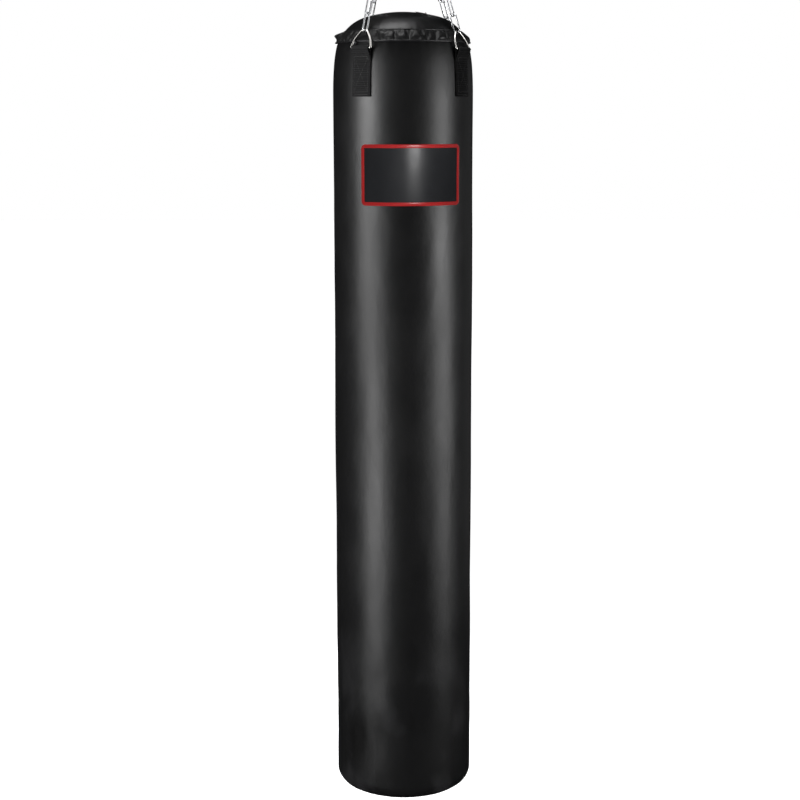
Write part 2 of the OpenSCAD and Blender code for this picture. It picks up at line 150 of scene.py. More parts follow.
class LabelSizes(bpy.types.PropertyGroup):
    """Sizes of the blank label and its edging"""

    width: length("Width along the wall", 0.257)
    azimuth: angle("Angle of the label's middle from the front", 8)
    corner: length("Radius of the label's corners", 0.0105)
    seat: length("Gap between the wall and the label", 0.0003)
    thickness: length("Thickness of the label", 0.0012)
    edging: length("Width of the edging", 0.0085)
    edging_thickness: length("Thickness of the edging", 0.0009)
    crown: length("How far the edging is crowned", 0.0005)


class ZipSizes(bpy.types.PropertyGroup):
    """Sizes of the filler zip on the cover"""

    back: length("Distance behind the middle of the crown", 0.045)
    length: length("Length of the zip", 0.130)
    tape: length("Width of each tape", 0.012)
    tape_thickness: length("Thickness of the tape", 0.001)
    seat: length("Gap between the cover and the tape", 0.0003)
    chain: length("Width of the closed teeth", 0.005)
    tooth: length("Height of the teeth above the tape", 0.0016)
    tooth_pitch: length("Spacing of the teeth on one tape", 0.0024)
    stop: length("Length of the end stops", 0.003)


class Finishes(bpy.types.PropertyGroup):
    """Colours of the bag's finishes"""

    vinyl: colour("Satin skin", 0.0046, 0.0046, 0.0049)
    thread: colour("Stitching on the skin and straps", 0.014, 0.014, 0.015)
    webbing: colour("Straps", 0.0050, 0.0050, 0.0055)
    label: colour("Gloss face of the label", 0.0125, 0.0130, 0.0145)
    edging: colour("Border of the label", 0.37, 0.011, 0.012)
    nickel: colour("Rings and zip", 0.66, 0.645, 0.62)
    zinc: colour("Chains and master link", 0.60, 0.605, 0.62)
    steel: colour("Swivel", 0.55, 0.55, 0.56)
    brass: colour("Thrust washers", 0.62, 0.44, 0.17)
    tape: colour("Woven zip tape", 0.014, 0.014, 0.016)
    teeth: colour("Moulded zip teeth", 0.022, 0.022, 0.024)
    foam: colour("Foam sleeve and pads", 0.14, 0.15, 0.16)
    cloth: colour("Packed filling", 0.30, 0.26, 0.21)
    floor: colour("Studio floor", 0.84, 0.84, 0.84)


class StageSizes(bpy.types.PropertyGroup):
    """Camera and floor"""

    distance: length("Camera's distance from the bag's axis", 4.2)
    camera_drop: length("Height of the camera below the rim seam", 0.165)
    camera_side: length("Camera's offset to the left", 0.0074)
    pitch: angle("How far the camera looks down", 9.6)
    roll: angle("Turn of the camera about its view", 0.083)
    lens: FloatProperty(description="Focal length in millimetres", default=76.5)
    floor_gap: length("Height of the bag above the floor", 0.42)


def wave(edge_from, edge_to, value):
    """A smooth step from 0 to 1."""
    share = min(1.0, max(0.0, (value - edge_from) / (edge_to - edge_from)))
    return share * share * (3.0 - 2.0 * share)


def turned(azimuth, radius, height):
    """The point at an angle from the front, a distance from the bag's axis and a height."""
    return Vector((radius * math.sin(azimuth), -radius * math.cos(azimuth), height))


def azimuth_of(point):
    """The angle of a point from the front."""
    return math.atan2(point.x, -point.y)


def reach_of(point):
    """The distance of a point from the bag's axis."""
    return math.hypot(point.x, point.y)


def between(one, other):
    """The smaller angle between two directions."""
    return abs((one - other + math.pi) % (2.0 * math.pi) - math.pi)


class Gathers:
    """The hem's pleats, uneven in width and depth, and pressed flat under the rings."""

    SEED = 11
    WIDTHS = (0.72, 1.28)
    HEIGHTS = (0.45, 1.0)
    RING_FLAT = math.radians(8)
    RING_FREE = math.radians(11.5)
    SLANT = math.radians(6.5)
    # Where the hem is pulled smooth: angle and spread, how far it stands out, share of the height and spread
    SMOOTH_SIDES = (
        (math.radians(-88), math.radians(15), 0.0155, 0.68, 0.25),
        (math.radians(92), math.radians(18), 0.0050, 0.48, 0.32),
    )

    def __init__(self, pleats):
        draw = random.Random(self.SEED)
        widths = [draw.uniform(*self.WIDTHS) for _ in range(pleats)]
        scale = 2.0 * math.pi / sum(widths)
        self.start = math.radians(-90) - widths[0] * scale / 2.0
        self.edges = [0.0]
        for width in widths:
            self.edges.append(self.edges[-1] + width * scale)
        self.heights = [draw.uniform(*self.HEIGHTS) for _ in widths]
        self.heights[0] = 1.0

    def ridge(self, azimuth, rise=0.0):
        """Height of the pleat at an angle, from 0 in a fold to about 1 on a crest."""
        place = (azimuth - self.SLANT * rise - self.start) % (2.0 * math.pi)
        pleat = min(bisect.bisect_right(self.edges, place), len(self.heights)) - 1
        low, high = self.edges[pleat], self.edges[pleat + 1]
        share = ((place - low) / (high - low)) ** 0.85
        return self.heights[pleat] * math.sin(math.pi * share) ** 1.3

    def fold(self, azimuth, rise=0.0):
        """Height of the pleat about its middle, and 0 under a ring."""
        return (self.ridge(azimuth, rise) - 0.5) * self.free(azimuth)

    def flare(self, azimuth, rise):
        """How far the hem stands out at the bag's two sides."""
        out = 0.0
        for middle, spread, reach, height, depth in self.SMOOTH_SIDES:
            near = (between(azimuth, middle) / spread) ** 2 + ((rise - height) / depth) ** 2
            out += reach * math.exp(-near)
        return out

    def slack(self, azimuth):
        """1 where the hem is left to crumple, and less at the bag's two sides, where it is pulled smooth."""
        near = min(between(azimuth, middle) / spread for middle, spread, *_ in self.SMOOTH_SIDES)
        return 1.0 - 0.8 * math.exp(-near * near)

    def free(self, azimuth):
        """1 where the hem is free to stand out, and 0 under a ring."""
        near = min(between(azimuth, strap) for strap in STRAP_AZIMUTH.values())
        return wave(self.RING_FLAT, self.RING_FREE, near)


class WallShape:
    """The stuffed wall: its plain profile, the lumps of the filling behind it and the pull of its seam."""

    DIMPLE_AZIMUTH = math.radians(-41.5)
    DIMPLE_DEPTH = 1.712
    DIMPLE_HALF = (0.0200, 0.050)
    # Height over which the rim seam pulls the wall in and how far, then the same for the tuck beside it
    DRAW_HEIGHT, DRAW_IN = 0.055, 0.0026
    TUCK_HEIGHT, TUCK_IN = 0.012, 0.0012
    RIDGE = 0.0016

    def __init__(self, sizes):
        self.gathers = Gathers(sizes.pleats)
        self.lump_size = sizes.lump
        self.dimple_size = sizes.dimple
        self.shoulder = sizes.shoulder_height
        inset = BAG_R - RIM_R
        self.bend = (self.shoulder**2 + inset**2) / (2.0 * inset)

    def radius(self, depth):
        """Plain radius at a depth below the rim seam."""
        if depth >= self.shoulder:
            return BAG_R
        return BAG_R - self.bend + math.sqrt(self.bend**2 - (self.shoulder - depth) ** 2)

    def lump(self, azimuth, depth):
        """How far the skin stands out of its plain wall."""
        ring = Vector((math.sin(azimuth), math.cos(azimuth), 0.0))

        def swell(round_pitch, x, y, down_pitch):
            return noise.noise(ring * round_pitch + Vector((x, y, depth * down_pitch)))

        low = wave(1.25, 1.75, depth) * (0.9 * swell(4.2, 9.0, 2.0, 1.7) + 0.8 * swell(3.3, 3.0, 8.0, 12.0))
        fine = 0.45 * swell(2.7, 4.0, 7.0, 6.5) + 0.16 * swell(7.5, 1.0, 5.0, 17.0)
        out = self.lump_size * (swell(1.1, 0.0, 0.0, 2.6) + fine + low) * wave(0.13, 0.34, depth)
        side = between(azimuth, self.DIMPLE_AZIMUTH) * BAG_R / self.DIMPLE_HALF[0]
        drop = (depth - self.DIMPLE_DEPTH) / self.DIMPLE_HALF[1]
        return out - self.dimple_size * math.exp(-side * side - drop * drop)

    def pucker(self, azimuth, depth):
        """The pull of the seam and the gathers on the wall just below them."""
        tuck = self.RIDGE * self.gathers.fold(azimuth) - self.TUCK_IN
        tight = max(0.0, 1.0 - depth / self.DRAW_HEIGHT)
        return tuck * math.exp(-depth / self.TUCK_HEIGHT) - self.DRAW_IN * tight * tight

    def point(self, azimuth, depth, out):
        """A point above the stuffed wall."""
        radius = self.radius(depth) + self.lump(azimuth, depth) + self.pucker(azimuth, depth) + out
        return turned(azimuth, radius, SEAM_Z - depth)


def pick(piece):
    """Selects one piece alone."""
    bpy.ops.object.select_all(action="DESELECT")
    piece.select_set(True)
    bpy.context.view_layer.objects.active = piece


def edit(piece):
    """Opens one piece in edit mode with all of it selected."""
    pick(piece)
    bpy.ops.object.mode_set(mode="EDIT")
    bpy.ops.mesh.select_all(action="SELECT")


def close():
    """Leaves edit mode."""
    bpy.ops.object.mode_set(mode="OBJECT")


def added(add, scale=(1.0, 1.0, 1.0), place=(0.0, 0.0, 0.0), turn=(0.0, 0.0, 0.0), **settings):
    """A new primitive, with its size, place and turn put into its mesh."""
    add(**settings)
    piece = bpy.context.object
    piece.scale = scale
    piece.location = place
    piece.rotation_euler = turn
    pick(piece)
    bpy.ops.object.transform_apply(location=True, rotation=True, scale=True)
    return piece


def modify(piece, kind, **settings):
    """Adds a modifier and applies it."""
    pick(piece)
    modifier = piece.modifiers.new(kind.title(), kind)
    for name, value in settings.items():
        setattr(modifier, name, value)
    bpy.ops.object.modifier_apply(modifier=modifier.name)


def round_edges(piece, width, sharp, segments=2):
    """Rounds the edges of a piece that are sharper than an angle."""
    modify(piece, "BEVEL", width=width, segments=segments, limit_method="ANGLE", angle_limit=sharp)


def thicken(piece, thickness, edge=0.0, offset=0.0):
    """Gives a sheet its thickness, and rounds its edges."""
    modify(piece, "SOLIDIFY", thickness=thickness, offset=offset, use_even_offset=False)
    if edge:
        round_edges(piece, edge, 1.0)


def shape(piece, move):
    """Moves every point of a piece."""
    for vertex in piece.data.vertices:
        vertex.co = move(vertex.co.copy())
    piece.data.update()


def spun(profile, steps):
    """A round piece: a chain of (radius, height) points turned about the bag's axis."""
    mesh = bpy.data.meshes.new("spun")
    chain = [(k, k + 1) for k in range(len(profile) - 1)]
    mesh.from_pydata([(radius, 0.0, height) for radius, height in profile], chain, [])
    piece = bpy.data.objects.new("spun", mesh)
    bpy.context.scene.collection.objects.link(piece)
    edit(piece)
    bpy.ops.mesh.spin(steps=steps, angle=2.0 * math.pi, center=(0, 0, 0), axis=(0, 0, 1))
    bpy.ops.mesh.select_all(action="SELECT")
    bpy.ops.mesh.remove_doubles(threshold=1e-6)
    bpy.ops.mesh.normals_make_consistent(inside=False)
    close()
    put_in_order(mesh)
    return piece


def put_in_order(mesh):
    """Gives a mesh's points and faces a fixed order, so that cloth made of it falls the same way each run."""
    order = sorted(range(len(mesh.vertices)), key=lambda index: tuple(mesh.vertices[index].co))
    rank = {index: place for place, index in enumerate(order)}
    points = [tuple(mesh.vertices[index].co) for index in order]
    faces = []
    for face in mesh.polygons:
        ring = [rank[index] for index in face.vertices]
        first = ring.index(min(ring))
        faces.append(ring[first:] + ring[:first])
    mesh.clear_geometry()
    mesh.from_pydata(points, [], sorted(faces))


def copies(model, places):
    """One piece made of a copy of a small model at each place."""
    made = []
    for place in places:
        copy = model.copy()
        copy.data = model.data.copy()
        copy.data.transform(place)
        bpy.context.scene.collection.objects.link(copy)
        made.append(copy)
    pick(made[0])
    for copy in made:
        copy.select_set(True)
    bpy.ops.object.join()
    bpy.data.objects.remove(model)
    return made[0]


def bare_copy(node):
    """A copy of a frame node, free of its place in the frame."""
    source = frame["nodes"][node]
    piece = source.copy()
    piece.data = source.data.copy()
    piece.parent = None
    for key in list(piece.keys()):
        del piece[key]
    bpy.context.scene.collection.objects.link(piece)
    edit(piece)
    bpy.ops.mesh.remove_doubles(threshold=1e-6)
    bpy.ops.mesh.customdata_custom_splitnormals_clear()
    close()
    return piece


def rounded_copy(node, edge):
    """A copy of a frame node whose sharp edges are rounded."""
    piece = bare_copy(node)
    edit(piece)
    bpy.ops.mesh.dissolve_limited(angle_limit=math.radians(0.5))
    close()
    round_edges(piece, edge, math.radians(35))
    return piece


def present(piece, name, finish, nodes=(), body="bag", angle_limit=40.0):
    """Smooths and names a finished piece, gives it its finish and lets it ride on its body."""
    pick(piece)
    bpy.ops.object.shade_smooth_by_angle(angle=math.radians(angle_limit))
    piece.name = name
    piece.data.name = name
    piece.data.materials.clear()
    piece.data.materials.append(finish)
    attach(piece, body)
    if nodes:
        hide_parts(*nodes)


def along(points, pitch):
    """Evenly spaced (point, direction) pairs along a line."""
    ends = list(zip(points, points[1:]))
    total = sum((b - a).length for a, b in ends)
    count = max(1, round(total / pitch))
    step, passed, wanted, found = total / count, 0.0, 0.5, []
    for a, b in ends:
        run = (b - a).length
        while wanted * step <= passed + run + 1e-9 and wanted < count:
            found.append((a.lerp(b, (wanted * step - passed) / run), (b - a).normalized()))
            wanted += 1.0
        passed += run
    return found


def from_axis(point):
    """The direction from the bag's axis to a point."""
    return Vector((point.x, point.y, 0.0)).normalized()


def stitching(name, finish, lines, pitch, thread, outward=from_axis):
    """Rows of stitches along lines on a surface: short threads that sink in at both ends."""
    places = []
    for line in lines:
        for point, way in along(line, pitch):
            side = outward(point).cross(way).normalized()
            turn = Matrix((way, side, way.cross(side))).transposed().to_4x4()
            places.append(Matrix.Translation(point) @ turn)
    stitch = added(
        bpy.ops.mesh.primitive_uv_sphere_add,
        (thread * 0.8, thread, pitch * 0.84),
        turn=(0.0, math.pi / 2.0, 0.0),
        segments=8,
        ring_count=6,
        radius=0.5,
    )
    present(copies(stitch, places), name, finish)


class Finish:
    """A surface finish in the making: one shader, and the nodes that feed it."""

    def __init__(self, name, rgb, **constants):
        self.rgb = rgb
        self.material = bpy.data.materials.new(name)
        self.material.use_nodes = True
        self.tree = self.material.node_tree
        self.shader = self.tree.nodes["Principled BSDF"]
        coordinates = self.tree.nodes.new("ShaderNodeTexCoord")
        self.place = coordinates.outputs["Object"]
        self.flat = coordinates.outputs["UV"]
        self.wear(**constants)

    def wear(self, **sockets):
        """Feeds the shader and gives the material."""
        for socket, value in sockets.items():
            self.feed(self.shader.inputs[socket.replace("_", " ")], value)
        return self.material

    def feed(self, socket, value):
        """Sets a socket, or links it."""
        if isinstance(value, bpy.types.NodeSocket):
            self.tree.links.new(value, socket)
        else:
            socket.default_value = value

    def node(self, kind, inputs, **settings):
        """Adds a node."""
        made = self.tree.nodes.new("ShaderNode" + kind)
        for name, value in settings.items():
            setattr(made, name, value)
        for name, value in inputs.items():
            self.feed(made.inputs[name], value)
        return made

    def stretch(self, *scale):
        """Coordinates stretched along each axis."""
        return self.node("Mapping", {"Vector": self.place, "Scale": scale}).outputs[0]

    def cloud(self, scale, detail=2.0, where=None):
        """Soft noise from 0 to 1."""
        inputs = {"Vector": where or self.place, "Scale": scale, "Detail": detail}
        return self.node("TexNoise", inputs).outputs["Fac"]

    def cells(self, scale, feature="DISTANCE_TO_EDGE", where=None):
        """Pebbled cells."""
        inputs = {"Vector": where or self.place, "Scale": scale}
        return self.node("TexVoronoi", inputs, feature=feature).outputs["Distance"]

    def lines(self, scale, direction, warp=0.0, where=None):
        """Straight ribs."""
        inputs = {"Vector": where or self.place, "Scale": scale, "Distortion": warp}
        made = self.node("TexWave", inputs, wave_type="BANDS", bands_direction=direction)
        return made.outputs["Fac"]

    def level(self, value, low, high, to_low=0.0, to_high=1.0):
        """One range of values turned into another."""
        inputs = {"Value": value, "From Min": low, "From Max": high, "To Min": to_low, "To Max": to_high}
        return self.node("MapRange", inputs).outputs["Result"]

    def times(self, one, other):
        """Two values multiplied."""
        return self.node("Math", {0: one, 1: other}, operation="MULTIPLY").outputs[0]

    def shade(self, factor):
        """The finish's colour, made darker or lighter."""
        return (*(min(1.0, channel * factor) for channel in self.rgb), 1.0)

    def over(self, amount, skin, factor):
        """A darker or lighter shade laid over a colour, by an amount."""
        inputs = {0: amount, 6: skin, 7: self.shade(factor)}
        return self.node("Mix", inputs, data_type="RGBA").outputs[2]

    def tones(self, amount, low, high):
        """Two shades of the finish's colour, mixed by an amount."""
        return self.over(amount, self.shade(low), high)

    def bump(self, height, distance, strength, under=None):
        """Relief, over another relief."""
        inputs = {"Height": height, "Distance": distance, "Strength": strength}
        if under:
            inputs["Normal"] = under
        return self.node("Bump", inputs).outputs["Normal"]


def vinyl_finish(name, rgb, gloss, rub=0.35, painted_light_near_base=False):
    """Satin embossed vinyl with rubbed patches; the wall's also has a painted highlight in pale patches near
    its base and painted shade on its dimple.
    """
    finish = Finish(name, rgb, IOR=1.5)
    skin = finish.tones(finish.cloud(4.5, 4.0), 0.80, 1.22)
    rubbed = finish.cloud(9.0, 6.0, finish.stretch(1.0, 1.0, 0.45))
    skin = finish.over(finish.level(rubbed, 0.56, 0.78, 0.0, rub), skin, 2.1)
    # Painted light near the base: pale patches of painted highlight, and painted shade in the dimple's dent.
    if painted_light_near_base:
        skin = painted_base_highlight_and_dimple_shade(finish, skin)
    dull = finish.level(finish.cloud(7.0, 5.0), 0.3, 0.7, gloss - 0.05, gloss + 0.05)
    pebble = finish.level(finish.cells(640.0), 0.0, 0.32)
    relief = finish.bump(finish.cloud(70.0, 5.0), 0.0009, 0.22)
    relief = finish.bump(pebble, 0.00022, 0.30, relief)
    return finish.wear(Base_Color=skin, Roughness=dull, Normal=relief)


def painted_base_highlight_and_dimple_shade(finish, skin):
    """Pale patches near the base, a painted highlight, and a dark patch on the dimple, painted shade in its
    dent.
    """
    height = finish.node("SeparateXYZ", {"Vector": finish.place}).outputs["Z"]
    low = finish.level(height, BASE_Z + 0.46, BASE_Z + 0.18)
    patch = finish.cloud(9.5, 2.5, finish.stretch(1.0, 1.0, 0.62))
    # Painted highlight: pale patches lighten the skin near the base.
    skin = finish.over(finish.times(low, finish.level(patch, 0.48, 0.66)), skin, 3.8)
    # Painted shade: a dark patch centred on the dimple, the shadow in its dent.
    middle = turned(WallShape.DIMPLE_AZIMUTH, BAG_R, SEAM_Z - WallShape.DIMPLE_DEPTH)
    inputs = {"Vector": finish.place, "Location": middle, "Scale": (0.044, 0.044, 0.086)}
    dimple_shade = finish.node("Mapping", inputs, vector_type="TEXTURE").outputs[0]
    dimple_shade = finish.node("TexGradient", {"Vector": dimple_shade}, gradient_type="SPHERICAL").outputs["Fac"]
    return finish.over(finish.level(dimple_shade, 0.0, 0.55, 0.0, 0.95), skin, 0.1)


def webbing_finish(name, rgb, rib_pitch):
    """Woven webbing: crosswise ribs whose tops carry a painted highlight, lengthwise threads and a dusty nap.
    """
    finish = Finish(name, rgb, Sheen_Weight=0.04, Roughness=0.74, Specular_IOR_Level=0.3)
    ribs = finish.lines(math.pi / 20.0 / rib_pitch, "Y", where=finish.flat)
    threads = finish.lines(math.pi / 20.0 / 0.0016, "X", 1.2, finish.flat)
    # Painted highlight: the skin is lighter on the tops of the ribs, where they cross the threads.
    skin = finish.tones(finish.times(ribs, threads), 0.62, 1.5)
    skin = finish.over(finish.level(finish.cloud(38.0, 6.0), 0.45, 0.8, 0.0, 0.5), skin, 2.2)
    relief = finish.bump(threads, 0.00025, 0.5)
    relief = finish.bump(finish.cloud(1500.0), 0.0001, 0.4, relief)
    return finish.wear(Base_Color=skin, Normal=relief)


def thread_finish(name, rgb):
    """Twisted thread."""
    finish = Finish(name, rgb, Sheen_Weight=0.3, Roughness=0.55)
    twist = finish.lines(420.0, "DIAGONAL", 2.0)
    return finish.wear(Base_Color=finish.tones(twist, 0.7, 1.6), Normal=finish.bump(twist, 0.0002, 0.5))


def label_finish(name, rgb):
    """Gloss label: a smooth face with faint ripples, dull patches and hairline scratches."""
    finish = Finish(name, rgb, IOR=1.5)
    skin = finish.tones(finish.cloud(11.0, 3.0), 0.85, 1.25)
    scratch = finish.cloud(55.0, 8.0, finish.stretch(1.0, 1.0, 9.0))
    skin = finish.over(finish.level(scratch, 0.60, 0.72, 0.0, 0.35), skin, 2.0)
    dull = finish.level(finish.cloud(26.0, 6.0), 0.3, 0.7, 0.34, 0.40)
    relief = finish.bump(finish.cloud(24.0), 0.0008, 0.10)
    relief = finish.bump(finish.cloud(900.0), 0.00008, 0.2, relief)
    return finish.wear(Base_Color=skin, Roughness=dull, Normal=relief)


def edging_finish(name, rgb):
    """Red binding: a fine weave with darkened folds."""
    finish = Finish(name, rgb, Sheen_Weight=0.08, Roughness=0.29)
    weave = finish.times(*(finish.lines(190.0, way, 0.6) for way in "XZ"))
    skin = finish.tones(weave, 0.72, 1.08)
    skin = finish.over(finish.level(finish.cloud(30.0, 5.0), 0.5, 0.8, 0.0, 0.5), skin, 0.6)
    return finish.wear(Base_Color=skin, Normal=finish.bump(weave, 0.00015, 0.30))


def metal_finish(name, rgb, polish, forged=0.0):
    """Plated steel: hairline scratches, cloudy plating and dull patches, on a smooth or forged face."""
    finish = Finish(name, rgb, Metallic=1.0)
    patch = finish.cloud(150.0, 6.0)
    skin = finish.tones(finish.level(finish.cloud(60.0, 4.0), 0.35, 0.7), 1.0, 0.80)
    skin = finish.over(finish.level(patch, 0.62, 0.75, 0.0, 0.6), skin, 0.55)
    dull = finish.level(patch, 0.35, 0.75, polish, polish + 0.16)
    relief = finish.bump(finish.cloud(2600.0, 3.0), 0.00006, 0.25)
    if forged:
        relief = finish.bump(finish.cloud(240.0, 4.0), forged, 0.6, relief)
    return finish.wear(Base_Color=skin, Roughness=dull, Normal=relief)


def tape_finish(name, rgb):
    """Zip tape: a fine twill."""
    finish = Finish(name, rgb, Sheen_Weight=0.2, Roughness=0.8)
    twill = finish.lines(300.0, "DIAGONAL", 0.4)
    return finish.wear(Base_Color=finish.tones(twill, 0.65, 1.6), Normal=finish.bump(twill, 0.0002, 0.6))


def plastic_finish(name, rgb):
    """Moulded plastic: a slightly cloudy, fine-grained face."""
    finish = Finish(name, rgb)
    tone = finish.cloud(400.0, 3.0)
    relief = finish.bump(finish.cloud(3000.0), 0.00005, 0.3)
    dull = finish.level(tone, 0.3, 0.7, 0.32, 0.45)
    return finish.wear(Base_Color=finish.tones(tone, 0.8, 1.3), Roughness=dull, Normal=relief)


def foam_finish(name, rgb):
    """Open-cell foam: dark pores in a pale skin."""
    finish = Finish(name, rgb, Roughness=0.95)
    pores = finish.level(finish.cells(420.0), 0.0, 0.3)
    return finish.wear(Base_Color=finish.tones(pores, 0.45, 1.15), Normal=finish.bump(pores, 0.0012, 0.7))


def filling_finish(name, rgb):
    """Packed shredded cloth: scraps of many tones."""
    finish = Finish(name, rgb, Roughness=0.95, Sheen_Weight=0.2)
    scraps = finish.cells(34.0, "F1", finish.stretch(1.0, 1.0, 1.7))
    skin = finish.tones(finish.level(scraps, 0.0, 0.9), 0.4, 1.5)
    skin = finish.over(finish.level(finish.cloud(500.0, 5.0), 0.4, 0.7, 0.0, 0.5), skin, 0.7)
    return finish.wear(Base_Color=skin, Normal=finish.bump(scraps, 0.004, 0.6))


class Maker:
    """What the operators share: each reads the scene's sizes and colours, then builds its pieces."""

    def execute(self, context):
        self.sizes = context.scene.bag_sizes
        self.colours = context.scene.bag_finishes
        self.wall = WallShape(self.sizes)
        self.gathers = self.wall.gathers
        self.build(context.scene)
        return {"FINISHED"}


class HEAVY_BAG_OT_stage(Maker, bpy.types.Operator):
    """Sets up the camera, the soft lamps, the pale floor and the white background"""

    bl_idname = "heavy_bag.stage"
    bl_label = "Stage"

    # Name, angle from the front, distance, top and foot above the rim seam, width, glow and lean
    LAMPS = (
        ("left_top", -58, 2.3, 0.26, 0.02, 1.15, 15.5, 6),
        ("left_upper", -58, 2.3, 0.02, -0.73, 0.78, 13.6, 6),
        ("left_lower", -47, 1.75, -0.98, -1.88, 0.50, 9.8, 8),
        ("right_upper", 64, 2.3, 0.15, -0.92, 0.72, 10.4, -3),
        ("right_lower", 69, 2.0, -1.00, -1.76, 0.60, 6.2, 8),
        ("right_rim", 132, 2.4, 0.30, -2.00, 1.20, 0.12, 0),
        ("label_glint", 15.8, 0.57, -0.212, -0.256, 0.05, 120.0, 0),
        ("label_fill", -12, 2.5, 0.10, -0.90, 1.00, 11.0, 0),
        ("back_fill", 180, 2.6, 0.40, -2.10, 2.20, 3.2, 0),
        ("back_streak", 181, 2.2, 0.25, -1.75, 0.40, 8.0, 0),
        ("metal_left", -78, 2.2, 1.90, -0.40, 1.60, 2.6, 0),
        ("metal_right", 78, 2.2, 1.90, -0.40, 1.60, 2.6, 0),
    )
    LABEL = ("label_face", "label_binding", "label_stitches")
    RIGHT_STRAP = ("webbing_front_right", "strap_stitches_front_right")
    WHITE = (1.0, 1.0, 1.0, 1.0)

    def build(self, scene):
        scene.view_settings.view_transform = "Standard"
        self.camera(scene, scene.bag_stage)
        self.world(scene)
        floor_z = BASE_Z - scene.bag_stage.floor_gap
        self.floor(floor_z)
        self.dark_tent(floor_z)
        for name, degrees, reach, top, foot, width, glow, lean in self.LAMPS:
            place = turned(math.radians(degrees), reach, SEAM_Z + (top + foot) / 2.0)
            way = (-place.x, -place.y, 0.0)
            self.lamp(name, place, (width, top - foot), glow, way, math.radians(lean))
        self.lamp("top_soft", Vector((-0.35, -0.05, SEAM_Z + 1.75)), (1.0, 0.55), 7.2)
        self.lamp("metal_top", Vector((0.0, -0.4, SEAM_Z + 2.3)), (2.6, 2.6), 1.6)
        for name in ("left_top", "left_upper", "left_lower", "right_lower"):
            self.link(name, self.LABEL, "EXCLUDE")
        self.link("right_upper", self.LABEL + self.RIGHT_STRAP, "EXCLUDE")
        for name in ("label_glint", "label_fill"):
            self.link(name, self.LABEL, "INCLUDE")
        for name in ("metal_left", "metal_right", "metal_top"):
            self.link(name, self.metals(), "INCLUDE")
        for name in ("label_fill", "back_fill"):
            bpy.data.objects[name].visible_glossy = False

    def camera(self, scene, sizes):
        bpy.ops.object.camera_add(
            location=(-sizes.camera_side, -sizes.distance, SEAM_Z - sizes.camera_drop),
            rotation=(math.pi / 2.0 - sizes.pitch, sizes.roll, 0.0),
        )
        scene.camera = bpy.context.object
        scene.camera.data.lens = sizes.lens
        scene.camera.data.clip_end = 100.0

    def world(self, scene):
        scene.world = bpy.data.worlds.new("White_Studio")
        scene.world.use_nodes = True
        tree = scene.world.node_tree
        background = tree.nodes["Background"].inputs
        background["Color"].default_value = self.WHITE
        tree.links.new(self.seen(tree, 0.36, 1.0), background["Strength"])

    def seen(self, tree, unseen_level, seen_level):
        """A level for rays that show the background, and another for those that only light the bag."""
        path = tree.nodes.new("ShaderNodeLightPath")
        total = path.outputs["Is Camera Ray"]
        for ray in ("Is Glossy Ray", "Is Transmission Ray"):
            either = tree.nodes.new("ShaderNodeMath")
            either.operation = "MAXIMUM"
            tree.links.new(total, either.inputs[0])
            tree.links.new(path.outputs[ray], either.inputs[1])
            total = either.outputs[0]
        level = tree.nodes.new("ShaderNodeMapRange")
        level.inputs["To Min"].default_value = unseen_level
        level.inputs["To Max"].default_value = seen_level
        tree.links.new(total, level.inputs["Value"])
        return level.outputs["Result"]

    def floor(self, height):
        bpy.ops.mesh.primitive_plane_add(size=60.0, location=(0.0, 0.0, height))
        floor = bpy.context.object
        floor.name = "studio_floor"
        finish = Finish("Pale_Floor", self.colours.floor, Roughness=0.7, Emission_Color=self.WHITE)
        skin = finish.tones(finish.cloud(3.0, 4.0), 0.98, 1.02)
        lift = self.seen(finish.tree, 0.0, 0.73)
        floor.data.materials.append(finish.wear(Base_Color=skin, Emission_Strength=lift))

    def dark_tent(self, height):
        """A dark tent round the set, seen only in reflections, so that black vinyl stays black."""
        tent = added(bpy.ops.mesh.primitive_uv_sphere_add, segments=48, ring_count=24, radius=9.0)
        tent.name = "dark_tent"
        edit(tent)
        cut = (0.0, 0.0, height + 0.002)
        bpy.ops.mesh.bisect(plane_co=cut, plane_no=(0, 0, 1), clear_inner=True, use_fill=True)
        close()
        finish = bpy.data.materials.new("Dark_Tent")
        finish.use_nodes = True
        tree = finish.node_tree
        tree.nodes.clear()
        glow = tree.nodes.new("ShaderNodeEmission")
        glow.inputs["Color"].default_value = (0.009, 0.009, 0.0095, 1.0)
        output = tree.nodes.new("ShaderNodeOutputMaterial")
        tree.links.new(glow.outputs[0], output.inputs["Surface"])
        tent.data.materials.append(finish)
        for ray in ("camera", "diffuse", "transmission", "volume_scatter", "shadow"):
            setattr(tent, "visible_" + ray, False)

    def link(self, name, pieces, state):
        """Keeps a lamp to some pieces, or keeps it off them."""
        group = bpy.data.collections.new(name + "_pieces")
        bpy.data.objects[name].light_linking.receiver_collection = group
        for piece in pieces:
            group.objects.link(bpy.data.objects[piece])
        for member in group.collection_objects:
            member.light_linking.link_state = state

    def metals(self):
        """Names of the rings, chains, master link, swivel and zip."""
        bare = [kind + side for kind in ("d_ring_", "chain_") for side in STRAP_AZIMUTH]
        nodes = [frame["nodes"][name].name for name in bare + ["master_link"]]
        return nodes + [name for name in bpy.data.objects.keys() if name.endswith(("_rounded", "_metal"))]

    def lamp(self, name, place, size, glow, way=(0.0, 0.0, -1.0), lean=0.0):
        """A soft box of an even glow."""
        bpy.ops.object.light_add(type="AREA", location=place)
        lamp = bpy.context.object
        lamp.name = name
        lamp.data.shape = "RECTANGLE"
        lamp.data.size, lamp.data.size_y = size
        lamp.data.energy = glow * math.pi * size[0] * size[1]
        turn = Vector(way).to_track_quat("-Z", "Y") @ Quaternion((0.0, 0.0, 1.0), lean)
        lamp.rotation_euler = turn.to_euler()
        lamp.visible_camera = False


